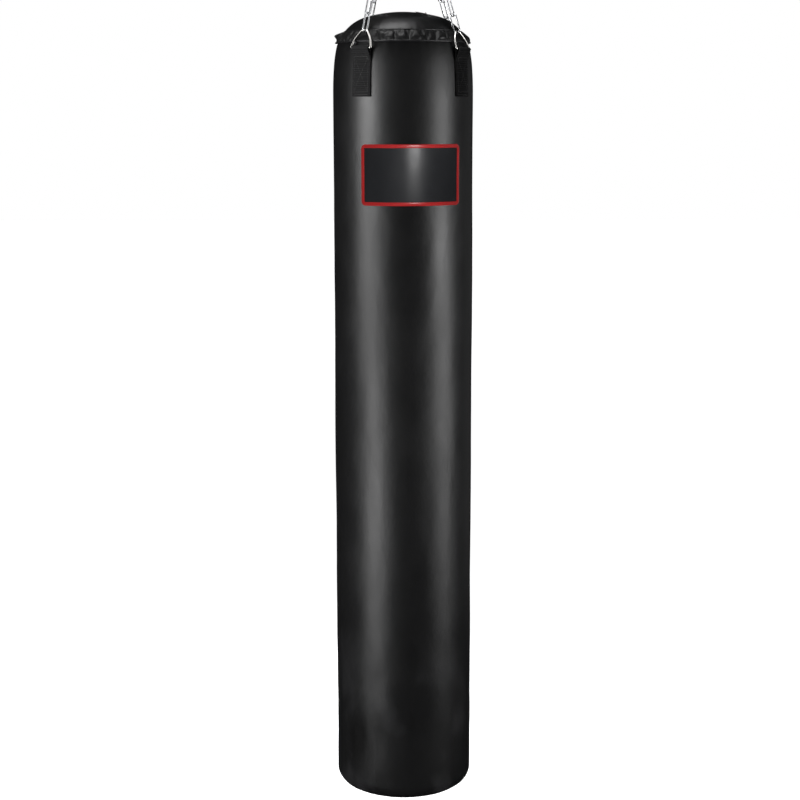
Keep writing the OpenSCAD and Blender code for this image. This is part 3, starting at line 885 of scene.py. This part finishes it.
class HEAVY_BAG_OT_skin(Maker, bpy.types.Operator):
    """Builds the stuffed skin, its closing seam at the back and the seam under its base"""

    bl_idname = "heavy_bag.skin"
    bl_label = "Stuffed skin"

    COLUMNS = 224
    LID_LIFT = 0.001
    # Steps down the wall, fine near its rim and coarse below
    FINE_DEPTH, FINE_STEP, COARSE_STEP = 0.06, 0.004, 0.0105
    EDGE_STEPS = 12
    # The sewn seam under the base: distance beside it and height
    BASE_WELT = ((0.004, 0.0), (0.002, 0.0013), (0.0, 0.0016), (-0.0015, -0.0012), (-0.004, 0.0))

    def build(self, scene):
        finish = vinyl_finish("Skin_Vinyl", self.colours.vinyl, 0.40, painted_light_near_base=True)
        skin = spun(self.profile(), self.COLUMNS)
        shape(skin, self.stuff)
        present(skin, "bag_skin", finish, ["outer_shell", "bottom_panel"])
        self.back_seam(scene.bag_straps.thread, finish)

    def stuff(self, point):
        """Moves a point of the plain skin as the stuffing and the seam do."""
        depth, azimuth, reach = SEAM_Z - point.z, azimuth_of(point), reach_of(point)
        out = self.wall.lump(azimuth, depth) + self.wall.pucker(azimuth, max(0.0, depth))
        return turned(azimuth, reach + wave(0.06, BAG_R, reach) * out, point.z)

    def profile(self):
        """The lid under the cover, the wall and the base, from the middle of the top to that of the base."""
        points = [(reach, SEAM_Z + self.LID_LIFT) for reach in (0.0, RIM_R * 0.6, RIM_R - 0.003)]
        depth = 0.0
        while depth < WALL_H - 0.006:
            points.append((self.wall.radius(depth), SEAM_Z - depth))
            depth += self.FINE_STEP if depth < self.FINE_DEPTH else self.COARSE_STEP
        edge, slope, seam = self.sizes.edge_radius, self.sizes.base_slope, self.sizes.base_seam
        middle, edge_z = BAG_R - edge, SEAM_Z - WALL_H
        for k in range(self.EDGE_STEPS + 1):
            turn = (math.pi / 2.0 - slope) * k / self.EDGE_STEPS
            points.append((middle + edge * math.cos(turn), edge_z - edge * math.sin(turn)))
        cap = edge + middle / math.sin(slope)
        cap_z = edge_z + (cap - edge) * math.cos(slope)
        welt = [(seam + side, out) for side, out in self.BASE_WELT]
        for reach, out in welt + [(seam * k / 8, 0.0) for k in range(7, -1, -1)]:
            turn = math.asin(reach / cap)
            points.append(((cap + out) * math.sin(turn), cap_z - (cap + out) * math.cos(turn)))
        return points

    def back_seam(self, thread, finish):
        """A lapped seam down the back, with two rows of stitches."""
        middle, width = self.sizes.seam_azimuth, self.sizes.seam_width
        top, bottom = 0.004, WALL_H - 0.002
        lap = added(
            bpy.ops.mesh.primitive_grid_add,
            (width, bottom - top, 1.0),
            turn=(math.pi / 2.0, 0.0, 0.0),
            x_subdivisions=4,
            y_subdivisions=190,
            size=1.0,
        )

        def lay(point):
            return self.wall.point(middle + point.x / BAG_R, (top + bottom) / 2.0 - point.z, 0.0004)

        shape(lap, lay)
        thicken(lap, 0.0012, 0.0004)
        present(lap, "back_seam_lap", finish)
        rows = []
        for side in (-1, 1):
            azimuth = middle + side * width * 0.28 / BAG_R
            rows.append([self.wall.point(azimuth, top + 0.004 + 0.02 * k, 0.0012) for k in range(91)])
        sewing = thread_finish("Skin_Thread", self.colours.thread)
        stitching("back_seam_stitches", sewing, rows, 0.006, thread)


class HEAVY_BAG_OT_hem(Maker, bpy.types.Operator):
    """Builds the hem, gathered between its two seams by a cloth simulation, and the piping in the seams"""

    bl_idname = "heavy_bag.hem"
    bl_label = "Gathered hem"

    ROWS = 12
    COLUMNS = 480
    FRAMES = 20
    # How the cloth behaves: it grows by about a tenth, so that it buckles
    CLOTH = {
        "vertex_group_mass": "sewn",
        "quality": 6,
        "mass": 0.15,
        "tension_stiffness": 12.0,
        "compression_stiffness": 12.0,
        "shear_stiffness": 6.0,
        "bending_stiffness": 4.0,
        "shrink_min": -0.11,
        "use_pressure": True,
        "uniform_pressure_force": 4.0,
    }

    def build(self, scene):
        rises = [k / self.ROWS for k in range(self.ROWS + 1)]
        hem = spun([(self.plain(rise), SEAM_Z + HEM_H * rise) for rise in rises], self.COLUMNS)
        shape(hem, self.tack)
        self.sew(hem)
        self.gather(scene, hem)
        shape(hem, self.cap)
        modify(hem, "SMOOTH", iterations=2, vertex_group="sewn", invert_vertex_group=True)
        modify(hem, "SUBSURF", levels=1, render_levels=1)
        thicken(hem, self.sizes.vinyl, 0.0, -1.0)
        finish = vinyl_finish("Hem_Vinyl", self.colours.vinyl, 0.49, 0.55)
        present(hem, "gathered_hem", finish, ["rim_hem"])
        # The piping's vinyl is the skin's colour made 2.6 times lighter, a painted highlight along the seams.
        welt = vinyl_finish("Welt_Vinyl_Painted_Highlight", [channel * 2.6 for channel in self.colours.vinyl], 0.32, 0.8)
        thickness = self.sizes.welt
        self.piping("rim_welt", welt, RIM_R, SEAM_Z + 0.0004, thickness, self.at_rim)
        self.piping("cover_welt", welt, COVER_R, SEAM_Z + HEM_H, thickness * 0.75, self.at_cover)

    def piping(self, name, finish, radius, height, thickness, bulge):
        """A welt round the bag: a thin ring that follows the gathers."""
        welt = added(
            bpy.ops.mesh.primitive_torus_add,
            place=(0.0, 0.0, height),
            major_segments=640,
            minor_segments=10,
            major_radius=radius - 0.0004,
            minor_radius=thickness / 2.0,
        )

        def follow(point):
            azimuth = azimuth_of(point)
            return turned(azimuth, reach_of(point) + bulge(azimuth), point.z)

        shape(welt, follow)
        present(welt, name, finish)

    def plain(self, rise):
        """The hem's radius before it is gathered."""
        return RIM_R - self.sizes.hem_lean * max(0.0, rise) ** 1.4

    def at_rim(self, azimuth):
        return 0.0016 * self.gathers.free(azimuth) - 0.0006 + 0.0008 * self.gathers.fold(azimuth)

    def at_cover(self, azimuth):
        return 0.0008 * self.gathers.fold(azimuth, 1.0)

    def rise_of(self, point):
        return min(1.0, max(0.0, (point.z - SEAM_Z) / HEM_H))

    def flared(self, azimuth, rise):
        """The hem's radius with the folds that stand out at the bag's two sides."""
        sewn = max(0.0, math.sin(math.pi * rise)) ** 0.25
        return self.plain(rise) + self.gathers.flare(azimuth, rise) * sewn * self.gathers.free(azimuth)

    def tack(self, point):
        """The shape that the gathering starts from: small slanted folds."""
        azimuth, rise = azimuth_of(point), self.rise_of(point)
        swell = math.sin(math.pi * rise) * self.gathers.free(azimuth)
        fold = self.sizes.pleat_depth * 0.3 * (self.gathers.ridge(azimuth, rise) - 0.4) * swell
        return turned(azimuth, self.flared(azimuth, rise) + fold, point.z)

    def sew(self, hem):
        """Holds the hem along both seams and under the rings."""
        group = hem.vertex_groups.new(name="sewn")
        for vertex in hem.data.vertices:
            seam = self.rise_of(vertex.co) in (0.0, 1.0)
            held = 1.0 if seam else 1.0 - self.gathers.free(azimuth_of(vertex.co))
            group.add([vertex.index], held, "REPLACE")

    def gather(self, scene, hem):
        """Lets the cloth grow between its seams, so that it buckles into gathers."""
        pick(hem)
        cloth = hem.modifiers.new("Gathering", "CLOTH")
        for name, value in self.CLOTH.items():
            setattr(cloth.settings, name, value)
        cloth.settings.effector_weights.gravity = 0.0
        cloth.collision_settings.use_collision = False
        for step in range(1, self.FRAMES + 1):
            scene.frame_set(step)
        bpy.ops.object.modifier_apply(modifier=cloth.name)
        scene.frame_set(1)

    def cap(self, point):
        """Keeps a gathered point near the hem's plain shape."""
        azimuth, rise = azimuth_of(point), self.rise_of(point)
        flared = self.flared(azimuth, rise)
        room = self.sizes.pleat_depth * self.gathers.free(azimuth) * self.gathers.slack(azimuth)
        reach = min(flared + room, max(flared - 0.4 * room, reach_of(point)))
        return turned(azimuth, reach, min(SEAM_Z + HEM_H, max(SEAM_Z, point.z)))


class HEAVY_BAG_OT_cover(Maker, bpy.types.Operator):
    """Builds the domed top cover, drawn into small creases at its edge"""

    bl_idname = "heavy_bag.cover"
    bl_label = "Top cover"

    COLUMNS = 380
    STEPS = 14
    CREASE_WIDTH, CREASE = 0.016, 0.0010
    SAG = 0.0012

    def build(self, scene):
        finish = vinyl_finish("Cover_Vinyl", self.colours.vinyl, 0.38)
        cover = spun(self.curve(0.0) + self.curve(self.sizes.vinyl)[::-1], self.COLUMNS)
        shape(cover, self.crease)
        present(cover, "domed_cover", finish, ["top_cover"])

    def crease(self, point):
        """Moves a point of the plain cover up or down, with the gathers at its edge and a slight sag."""
        azimuth, reach = azimuth_of(point), reach_of(point)
        near = math.exp(-max(0.0, COVER_R - reach) / self.CREASE_WIDTH)
        ring = Vector((math.sin(azimuth), math.cos(azimuth), reach * 12.0))
        sag = self.SAG * wave(0.05, 0.11, reach) * noise.noise(ring * 1.7)
        pull = self.CREASE * near * self.gathers.fold(azimuth, 1.0)
        return point + Vector((0.0, 0.0, (sag + pull) * (1.0 - near * 0.5)))

    def curve(self, inset):
        """The crown, then its tighter shoulder, from the middle to the hem."""
        radius, bend = self.sizes.crown_radius, self.sizes.crown_angle
        crown = Vector((0.0, CROWN_H - radius))
        normal = Vector((math.sin(bend), math.cos(bend)))
        end = crown + radius * normal
        to_edge = Vector((COVER_R, HEM_H)) - end
        shoulder = -to_edge.length_squared / (2.0 * to_edge.dot(normal))
        middle = end - shoulder * normal
        last = math.acos((HEM_H - middle.y) / (shoulder - inset))
        shares = [k / self.STEPS for k in range(self.STEPS + 1)]
        arcs = [(crown, radius - inset, bend * share) for share in shares]
        arcs += [(middle, shoulder - inset, bend + (last - bend) * share) for share in shares[1:]]
        return [(c.x + out * math.sin(turn), SEAM_Z + c.y + out * math.cos(turn)) for c, out, turn in arcs]


class HEAVY_BAG_OT_straps(Maker, bpy.types.Operator):
    """Builds the four folded webbing straps and their stitching"""

    bl_idname = "heavy_bag.straps"
    bl_label = "Webbing straps"

    COLUMNS = 16
    WALL_STEPS = 12
    LOOP_STEPS = 16
    SEAM_STEPS = 24
    # The sewn box: its top below the bar, the last row above the strap's end, and the box above that row
    BOX_TOP, END_GAP, ROW_GAP = 0.020, 0.004, 0.007

    def build(self, scene):
        self.strap = scene.bag_straps
        webbing = webbing_finish("Black_Webbing", self.colours.webbing, self.strap.rib_pitch)
        thread = thread_finish("Strap_Thread", self.colours.thread)
        for side, azimuth in STRAP_AZIMUTH.items():
            self.turn = Matrix.Rotation(azimuth, 3, "Z")
            self.bar_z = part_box("d_ring_" + side)[0].z + self.strap.bar_lift
            self.contact = SEAM_Z - self.bar_z + self.strap.lead
            node = "strap_" + side
            present(self.webbing(), "webbing_" + side, webbing, [node], angle_limit=50.0)
            pitch = self.strap.stitch_pitch
            stitching("strap_stitches_" + side, thread, self.seams(), pitch, self.strap.thread)

    def centre_line(self):
        """The webbing's middle, as radius and height: up the outer ply, over the bar, down the inner ply."""
        strap, wall, steps = self.strap, self.wall, self.WALL_STEPS
        depths = [STRAP_END + (self.contact - STRAP_END) * k / steps for k in range(steps + 1)]
        outer = [Vector((wall.radius(d) + strap.seat + strap.spacing, SEAM_Z - d)) for d in depths]
        inner = [Vector((wall.radius(d) + strap.seat, SEAM_Z - d)) for d in depths]
        over = []
        for k in range(self.LOOP_STEPS + 1):
            turn = math.pi * k / self.LOOP_STEPS
            out = strap.loop_radius + strap.bulge * max(0.0, math.cos(turn))
            height = self.bar_z + strap.loop_radius * math.sin(turn)
            over.append(Vector((strap.bar_out + out * math.cos(turn), height)))
        return outer + over + inner[::-1]

    def outer_reach(self, depth):
        """Distance of the outer ply's middle from the bag's axis at a depth below the rim seam."""
        strap = self.strap
        seat = self.wall.radius(max(depth, self.contact)) + strap.seat + strap.spacing
        loop = strap.bar_out + strap.loop_radius + strap.bulge
        return seat + (loop - seat) * max(0.0, self.contact - depth) / strap.lead

    def lay(self, across, reach, height):
        """A point across the strap, flat at its loop and curved where it lies on the wall."""
        curve = wave(0.004, self.strap.lead, self.bar_z - height)
        flat = Vector((across, -reach, height))
        return self.turn @ flat.lerp(turned(across / RIM_R, reach, height), curve)

    def webbing(self):
        """One ribbed band, folded round the ring's bar."""
        sizes = self.strap
        line = self.centre_line()
        rows = along(line, sizes.row_step)
        last = len(rows) - 1
        band = added(
            bpy.ops.mesh.primitive_grid_add, x_subdivisions=self.COLUMNS, y_subdivisions=last, size=1.0
        )
        run = sum((b - a).length for a, b in zip(line, line[1:]))
        for loop in band.data.uv_layers.active.data:
            loop.uv = (loop.uv.x * sizes.width, loop.uv.y * run)

        def fold(point):
            row = min(last, round((point.y + 0.5) * last))
            middle, way = rows[row]
            rib = sizes.rib * math.sin(2.0 * math.pi * row * sizes.row_step / sizes.rib_pitch)
            middle = middle + rib * Vector((way.y, -way.x))
            return self.lay(point.x * sizes.width, middle.x, middle.y)

        shape(band, fold)
        thicken(band, sizes.thickness, 0.0005)
        return band

    def seams(self):
        """A sewn box with a cross in it, and a second row along the strap's end."""
        half = self.strap.width / 2.0 - self.strap.stitch_inset
        top = SEAM_Z - self.bar_z + self.BOX_TOP
        end = STRAP_END - self.END_GAP
        box = end - self.ROW_GAP
        a, b, c, d = (-half, top), (half, top), (half, box), (-half, box)
        ends = ((a, b), (b, c), (c, d), (d, a), (a, c), (b, d), ((-half, end), (half, end)))
        return [self.seam(*pair) for pair in ends]

    def seam(self, start, stop):
        """A line on the strap between two points, each given across the strap and below the rim seam."""
        points = []
        for k in range(self.SEAM_STEPS + 1):
            across, depth = (p + (q - p) * k / self.SEAM_STEPS for p, q in zip(start, stop))
            reach = self.outer_reach(depth) + self.strap.thickness / 2.0 + self.strap.rib
            points.append(self.lay(across, reach, SEAM_Z - depth))
        return points


class HEAVY_BAG_OT_label(Maker, bpy.types.Operator):
    """Builds the blank gloss label, its red edging and the stitching round it"""

    bl_idname = "heavy_bag.label"
    bl_label = "Label"

    EDGING_ROWS = 6
    CORNER_STEPS = 6
    CUTS = (46, 22)
    RIPPLE = 0.00025
    STITCH_PITCH, THREAD, THREAD_LIFT = 0.0046, 0.0008, 0.0004

    def build(self, scene):
        self.label = scene.bag_label
        self.middle = LABEL_TOP + LABEL_H / 2.0
        sizes = self.label
        face, edging = self.blank(), self.blank()
        edit(edging)
        for _ in range(self.EDGING_ROWS):
            bpy.ops.mesh.inset(thickness=sizes.edging / self.EDGING_ROWS, depth=0.0)
        bpy.ops.mesh.delete(type="FACE")
        close()
        self.wrap(face, sizes.seat, 0.0)
        thicken(face, sizes.thickness, 0.0003, -1.0)
        gloss = label_finish("Label_Gloss", self.colours.label)
        present(face, "label_face", gloss, ["label_patch"])
        top = sizes.seat + sizes.thickness
        self.wrap(edging, top, sizes.crown)
        thicken(edging, sizes.edging_thickness, 0.00035, -1.0)
        binding = edging_finish("Label_Binding", self.colours.edging)
        present(edging, "label_binding", binding, ["label_edging"])
        seam = self.seam(top + sizes.edging_thickness + sizes.crown + self.THREAD_LIFT)
        thread = thread_finish("Label_Thread", [channel * 0.75 for channel in self.colours.edging])
        stitching("label_stitches", thread, [seam], self.STITCH_PITCH, self.THREAD)

    def blank(self):
        """A flat label with rounded corners, facing the front."""
        size = (self.label.width, LABEL_H, 1.0)
        piece = added(bpy.ops.mesh.primitive_plane_add, size, turn=(math.pi / 2.0, 0.0, 0.0), size=1.0)
        edit(piece)
        bpy.ops.mesh.bevel(offset=self.label.corner, segments=7, affect="VERTICES")
        close()
        return piece

    def inset_of(self, point):
        """Distance of a flat point from the label's outline."""
        corner = self.label.corner
        side = self.label.width / 2.0 - abs(point.x)
        end = LABEL_H / 2.0 - abs(point.z)
        if max(side, end) > corner:
            return min(side, end)
        return corner - math.hypot(corner - side, corner - end)

    def on_wall(self, x, z, out):
        """A flat point, along and up the label, laid above the wall."""
        return self.wall.point(self.label.azimuth + x / BAG_R, self.middle - z, out)

    def wrap(self, piece, out, crown):
        """Cuts a flat piece into small faces and lays it on the wall, crowned, with a sewn sheet's ripple."""
        edit(piece)
        spans = ((self.label.width, (1, 0, 0)), (LABEL_H, (0, 0, 1)))
        for count, (span, way) in zip(self.CUTS, spans):
            for k in range(1, count):
                place = Vector(way) * (span * (k / count - 0.5))
                bpy.ops.mesh.select_all(action="SELECT")
                bpy.ops.mesh.bisect(plane_co=place, plane_no=way)
        close()

        def bend(point):
            ripple = self.RIPPLE * (1.0 + noise.noise(Vector((point.x * 22.0, 3.0, point.z * 14.0))))
            across = 2.0 * self.inset_of(point) / self.label.edging - 1.0
            return self.on_wall(point.x, point.z, out + ripple + crown * (1.0 - across * across))

        shape(piece, bend)

    def seam(self, out):
        """A line along the middle of the edging, above the wall."""
        inset = self.label.edging / 2.0
        bend = self.label.corner - inset
        half, rise = self.label.width / 2.0 - inset - bend, LABEL_H / 2.0 - inset - bend
        line = []
        for k, (side, end) in enumerate(((1, 1), (-1, 1), (-1, -1), (1, -1))):
            for step in range(self.CORNER_STEPS + 1):
                turn = math.pi / 2.0 * (k + step / self.CORNER_STEPS)
                line.append(Vector((side * half + bend * math.cos(turn), end * rise + bend * math.sin(turn))))
        line.append(line[0])
        return [self.on_wall(point.x, point.y, out) for point, _ in along(line, 0.003)]


class HEAVY_BAG_OT_zip(Maker, bpy.types.Operator):
    """Builds the zip's tapes and teeth, and finishes its stops, slider and pull"""

    bl_idname = "heavy_bag.zip"
    bl_label = "Filler zip"

    # The cord along a tape's inner edge: distance from it, spread squared and height
    CORD_IN, CORD_SPREAD, CORD_LIFT = 0.0012, 0.0000006, 0.00022
    RIPPLE = 0.00008
    STITCH_PITCH, THREAD = 0.0034, 0.0006

    def build(self, scene):
        self.zip = scene.bag_zip
        self.inner = self.zip.chain / 2.0 + self.zip.seat
        self.radius = self.sizes.crown_radius
        self.centre = SEAM_Z + CROWN_H - self.radius
        self.lean = math.asin(self.zip.back / self.radius)
        tape = tape_finish("Zip_Tape", self.colours.tape)
        self.tape(-1, "front", tape)
        self.tape(1, "back", tape)
        self.teeth()
        self.tape_stitches()
        nickel = metal_finish("Zip_Nickel", self.colours.nickel, 0.16)
        for node, body in (("zip_slider", "zip_slider"), ("zip_pull", "zip_pull"), ("zip_stops", "bag")):
            piece = rounded_copy(node, 0.00025)
            present(piece, node + "_metal", nickel, [node], body, angle_limit=30.0)

    def on_crown(self, flat):
        """A flat point, along and across the zip and above it, laid on the crown."""
        out = self.radius + flat.z
        reach = out * math.cos(self.lean) - flat.y * math.sin(self.lean)
        back = out * math.sin(self.lean) + flat.y * math.cos(self.lean)
        turn = flat.x / (self.radius * math.cos(self.lean))
        return Vector((reach * math.sin(turn), back, self.centre + reach * math.cos(turn)))

    def tape(self, side, name, finish):
        """One tape: a thin woven strip with a corded inner edge."""
        sizes = self.zip
        tape = added(
            bpy.ops.mesh.primitive_grid_add,
            (sizes.length, sizes.tape, 1.0),
            (0.0, side * (self.inner + sizes.tape / 2.0), sizes.seat + sizes.tape_thickness / 2.0),
            x_subdivisions=90,
            y_subdivisions=12,
            size=1.0,
        )

        def cord(point):
            near = abs(point.y) - self.inner - self.CORD_IN
            lift = self.CORD_LIFT * math.exp(-(near**2) / self.CORD_SPREAD)
            ripple = self.RIPPLE * math.sin(point.x * 900.0)
            return self.on_crown(point + Vector((0.0, 0.0, lift + ripple - 0.0001)))

        shape(tape, cord)
        thicken(tape, sizes.tape_thickness * 0.8, 0.0002)
        present(tape, "zip_tape_weave_" + name, finish, ["zip_tape_" + name])

    def teeth(self):
        """Two rows of moulded teeth that mesh along the middle."""
        sizes = self.zip
        tall = sizes.tape_thickness + sizes.tooth
        tooth = added(
            bpy.ops.mesh.primitive_cube_add, (sizes.tooth_pitch * 0.46, sizes.chain * 0.60, tall), size=1.0
        )
        edit(tooth)
        mesh = bmesh.from_edit_mesh(tooth.data)
        for face in mesh.faces:
            face.select_set(face.normal.y > 0.9)
        bmesh.update_edit_mesh(tooth.data)
        bpy.ops.mesh.inset(thickness=0.00018, depth=0.00045)
        close()
        round_edges(tooth, 0.0002, 0.6, 1)
        run = sizes.length - 2.0 * sizes.stop - 0.0006
        count = int(run / sizes.tooth_pitch)
        places = []
        for k in range(count):
            for side in (-1, 1):
                offset = (k + 0.5 + side * 0.25) * run / count - run / 2.0
                place = Matrix.Translation((offset, side * sizes.chain * 0.19, sizes.seat + tall / 2.0))
                places.append(place @ Matrix.Rotation(0.0 if side < 0 else math.pi, 4, "Z"))
        row = copies(tooth, places)
        shape(row, self.on_crown)
        finish = plastic_finish("Zip_Teeth", self.colours.teeth)
        present(row, "zip_teeth_rows", finish, ["zip_teeth"], angle_limit=30.0)

    def tape_stitches(self):
        """A row of stitches down each tape."""
        out = self.inner + self.zip.tape - 0.0022
        half = self.zip.length / 2.0 - 0.0025
        height = self.zip.seat + self.zip.tape_thickness
        lines = []
        for side in (-1, 1):
            flat = [Vector((half * (k / 30 - 1.0), side * out, height)) for k in range(61)]
            lines.append([self.on_crown(point) for point in flat])
        centre = Vector((0.0, 0.0, self.centre))

        def outward(point):
            return (point - centre).normalized()

        thread = thread_finish("Zip_Thread", self.colours.thread)
        stitching("zip_stitches", thread, lines, self.STITCH_PITCH, self.THREAD, outward)


class HEAVY_BAG_OT_filling(Maker, bpy.types.Operator):
    """Builds the foam sleeve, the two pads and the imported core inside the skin"""

    bl_idname = "heavy_bag.filling"
    bl_label = "Filling"

    VOXEL = 0.009

    def build(self, scene):
        foam = foam_finish("Grey_Foam", self.colours.foam)
        cloth = filling_finish("Packed_Cloth", self.colours.cloth)
        for node, name, finish, slot, fill in (
            ("foam_liner", "foam_sleeve", foam, "foam", 0.8),
            ("bottom_pad", "base_cushion", foam, "foam", 0.8),
            ("top_pad", "crown_cushion", foam, "foam", 0.8),
            ("textile_fill", "packed_core", cloth, "textile", 1.0),
        ):
            present(self.soften(node), name, finish, [node])

    def soften(self, node):
        """A copy of a frame node with soft edges and an uneven, slightly sunken face."""
        piece = bare_copy(node)
        piece.data.remesh_voxel_size = self.VOXEL
        bpy.ops.object.voxel_remesh()
        middle = sum((Vector(corner) for corner in piece.bound_box), Vector()) / 8.0

        def sink(point):
            depth = 0.0022 + 0.0018 * noise.noise(point * 19.0) + 0.0008 * noise.noise(point * 57.0)
            depth -= min(0.0, self.wall.lump(azimuth_of(point), SEAM_Z - point.z))
            away = point - middle
            return point - Vector((away.x, away.y, away.z * 0.05)).normalized() * depth

        shape(piece, sink)
        return piece


class HEAVY_BAG_OT_hardware(Maker, bpy.types.Operator):
    """Finishes the rings, chains, master link and swivel"""

    bl_idname = "heavy_bag.hardware"
    bl_label = "Hardware"

    def build(self, scene):
        nickel = metal_finish("Bright_Nickel", self.colours.nickel, 0.10)
        zinc = metal_finish("Bright_Zinc", self.colours.zinc, 0.17)
        forged = metal_finish("Forged_Steel", self.colours.steel, 0.26, 0.0006)
        turned_steel = metal_finish("Turned_Steel", self.colours.steel, 0.20)
        brass = metal_finish("Plain_Brass", self.colours.brass, 0.24)
        for side in STRAP_AZIMUTH:
            self.coat("d_ring_" + side, nickel)
            self.coat("chain_" + side, zinc)
        self.coat("master_link", zinc)
        for node, body, finish, slot, edge in (
            ("swivel_eye", "hanger", forged, "swivel_steel", 0.0006),
            ("swivel_jaw", "swivel", forged, "swivel_steel", 0.0012),
            ("stem_nut", "hanger", turned_steel, "swivel_steel", 0.0007),
            ("jaw_pin", "swivel", turned_steel, "swivel_steel", 0.0008),
            ("jaw_pin_nut", "swivel", turned_steel, "swivel_steel", 0.0007),
            ("upper_washer", "swivel", brass, "washer", 0.0004),
            ("lower_washer", "swivel", brass, "washer", 0.0004),
        ):
            piece = rounded_copy(node, edge)
            present(piece, node + "_rounded", finish, [node], body, angle_limit=30.0)

    def coat(self, node, finish):
        materials = frame["nodes"][node].data.materials
        materials.clear()
        materials.append(finish)


class HEAVY_BAG_PT_pieces(bpy.types.Panel):
    """Lists the bag's pieces, and the sizes and colours that they are built from"""

    bl_idname = "HEAVY_BAG_PT_pieces"
    bl_label = "Heavy Bag"
    bl_space_type = "VIEW_3D"
    bl_region_type = "UI"
    bl_category = "Heavy Bag"

    def draw(self, context):
        for operator in OPERATORS:
            self.layout.operator(operator.bl_idname)
        for pointer in GROUPS:
            group = getattr(context.scene, pointer)
            box = self.layout.box()
            for name in group.bl_rna.properties.keys():
                if name not in ("rna_type", "name"):
                    box.prop(group, name, text=name.replace("_", " ").capitalize())


GROUPS = {
    "bag_sizes": BagSizes,
    "bag_straps": StrapSizes,
    "bag_label": LabelSizes,
    "bag_zip": ZipSizes,
    "bag_finishes": Finishes,
    "bag_stage": StageSizes,
}
OPERATORS = (
    HEAVY_BAG_OT_stage,
    HEAVY_BAG_OT_skin,
    HEAVY_BAG_OT_hem,
    HEAVY_BAG_OT_cover,
    HEAVY_BAG_OT_straps,
    HEAVY_BAG_OT_label,
    HEAVY_BAG_OT_zip,
    HEAVY_BAG_OT_filling,
    HEAVY_BAG_OT_hardware,
)


def register():
    for group in GROUPS.values():
        bpy.utils.register_class(group)
    for pointer, group in GROUPS.items():
        setattr(bpy.types.Scene, pointer, PointerProperty(type=group))
    for operator in OPERATORS:
        bpy.utils.register_class(operator)
    bpy.utils.register_class(HEAVY_BAG_PT_pieces)


def unregister():
    bpy.utils.unregister_class(HEAVY_BAG_PT_pieces)
    for operator in reversed(OPERATORS):
        bpy.utils.unregister_class(operator)
    for pointer, group in GROUPS.items():
        delattr(bpy.types.Scene, pointer)
        bpy.utils.unregister_class(group)


def main():
    register()
    bpy.ops.heavy_bag.skin()
    bpy.ops.heavy_bag.hem()
    bpy.ops.heavy_bag.cover()
    bpy.ops.heavy_bag.straps()
    bpy.ops.heavy_bag.label()
    bpy.ops.heavy_bag.zip()
    bpy.ops.heavy_bag.filling()
    bpy.ops.heavy_bag.hardware()
    bpy.ops.heavy_bag.stage()


if __name__ == "__main__":
    main()
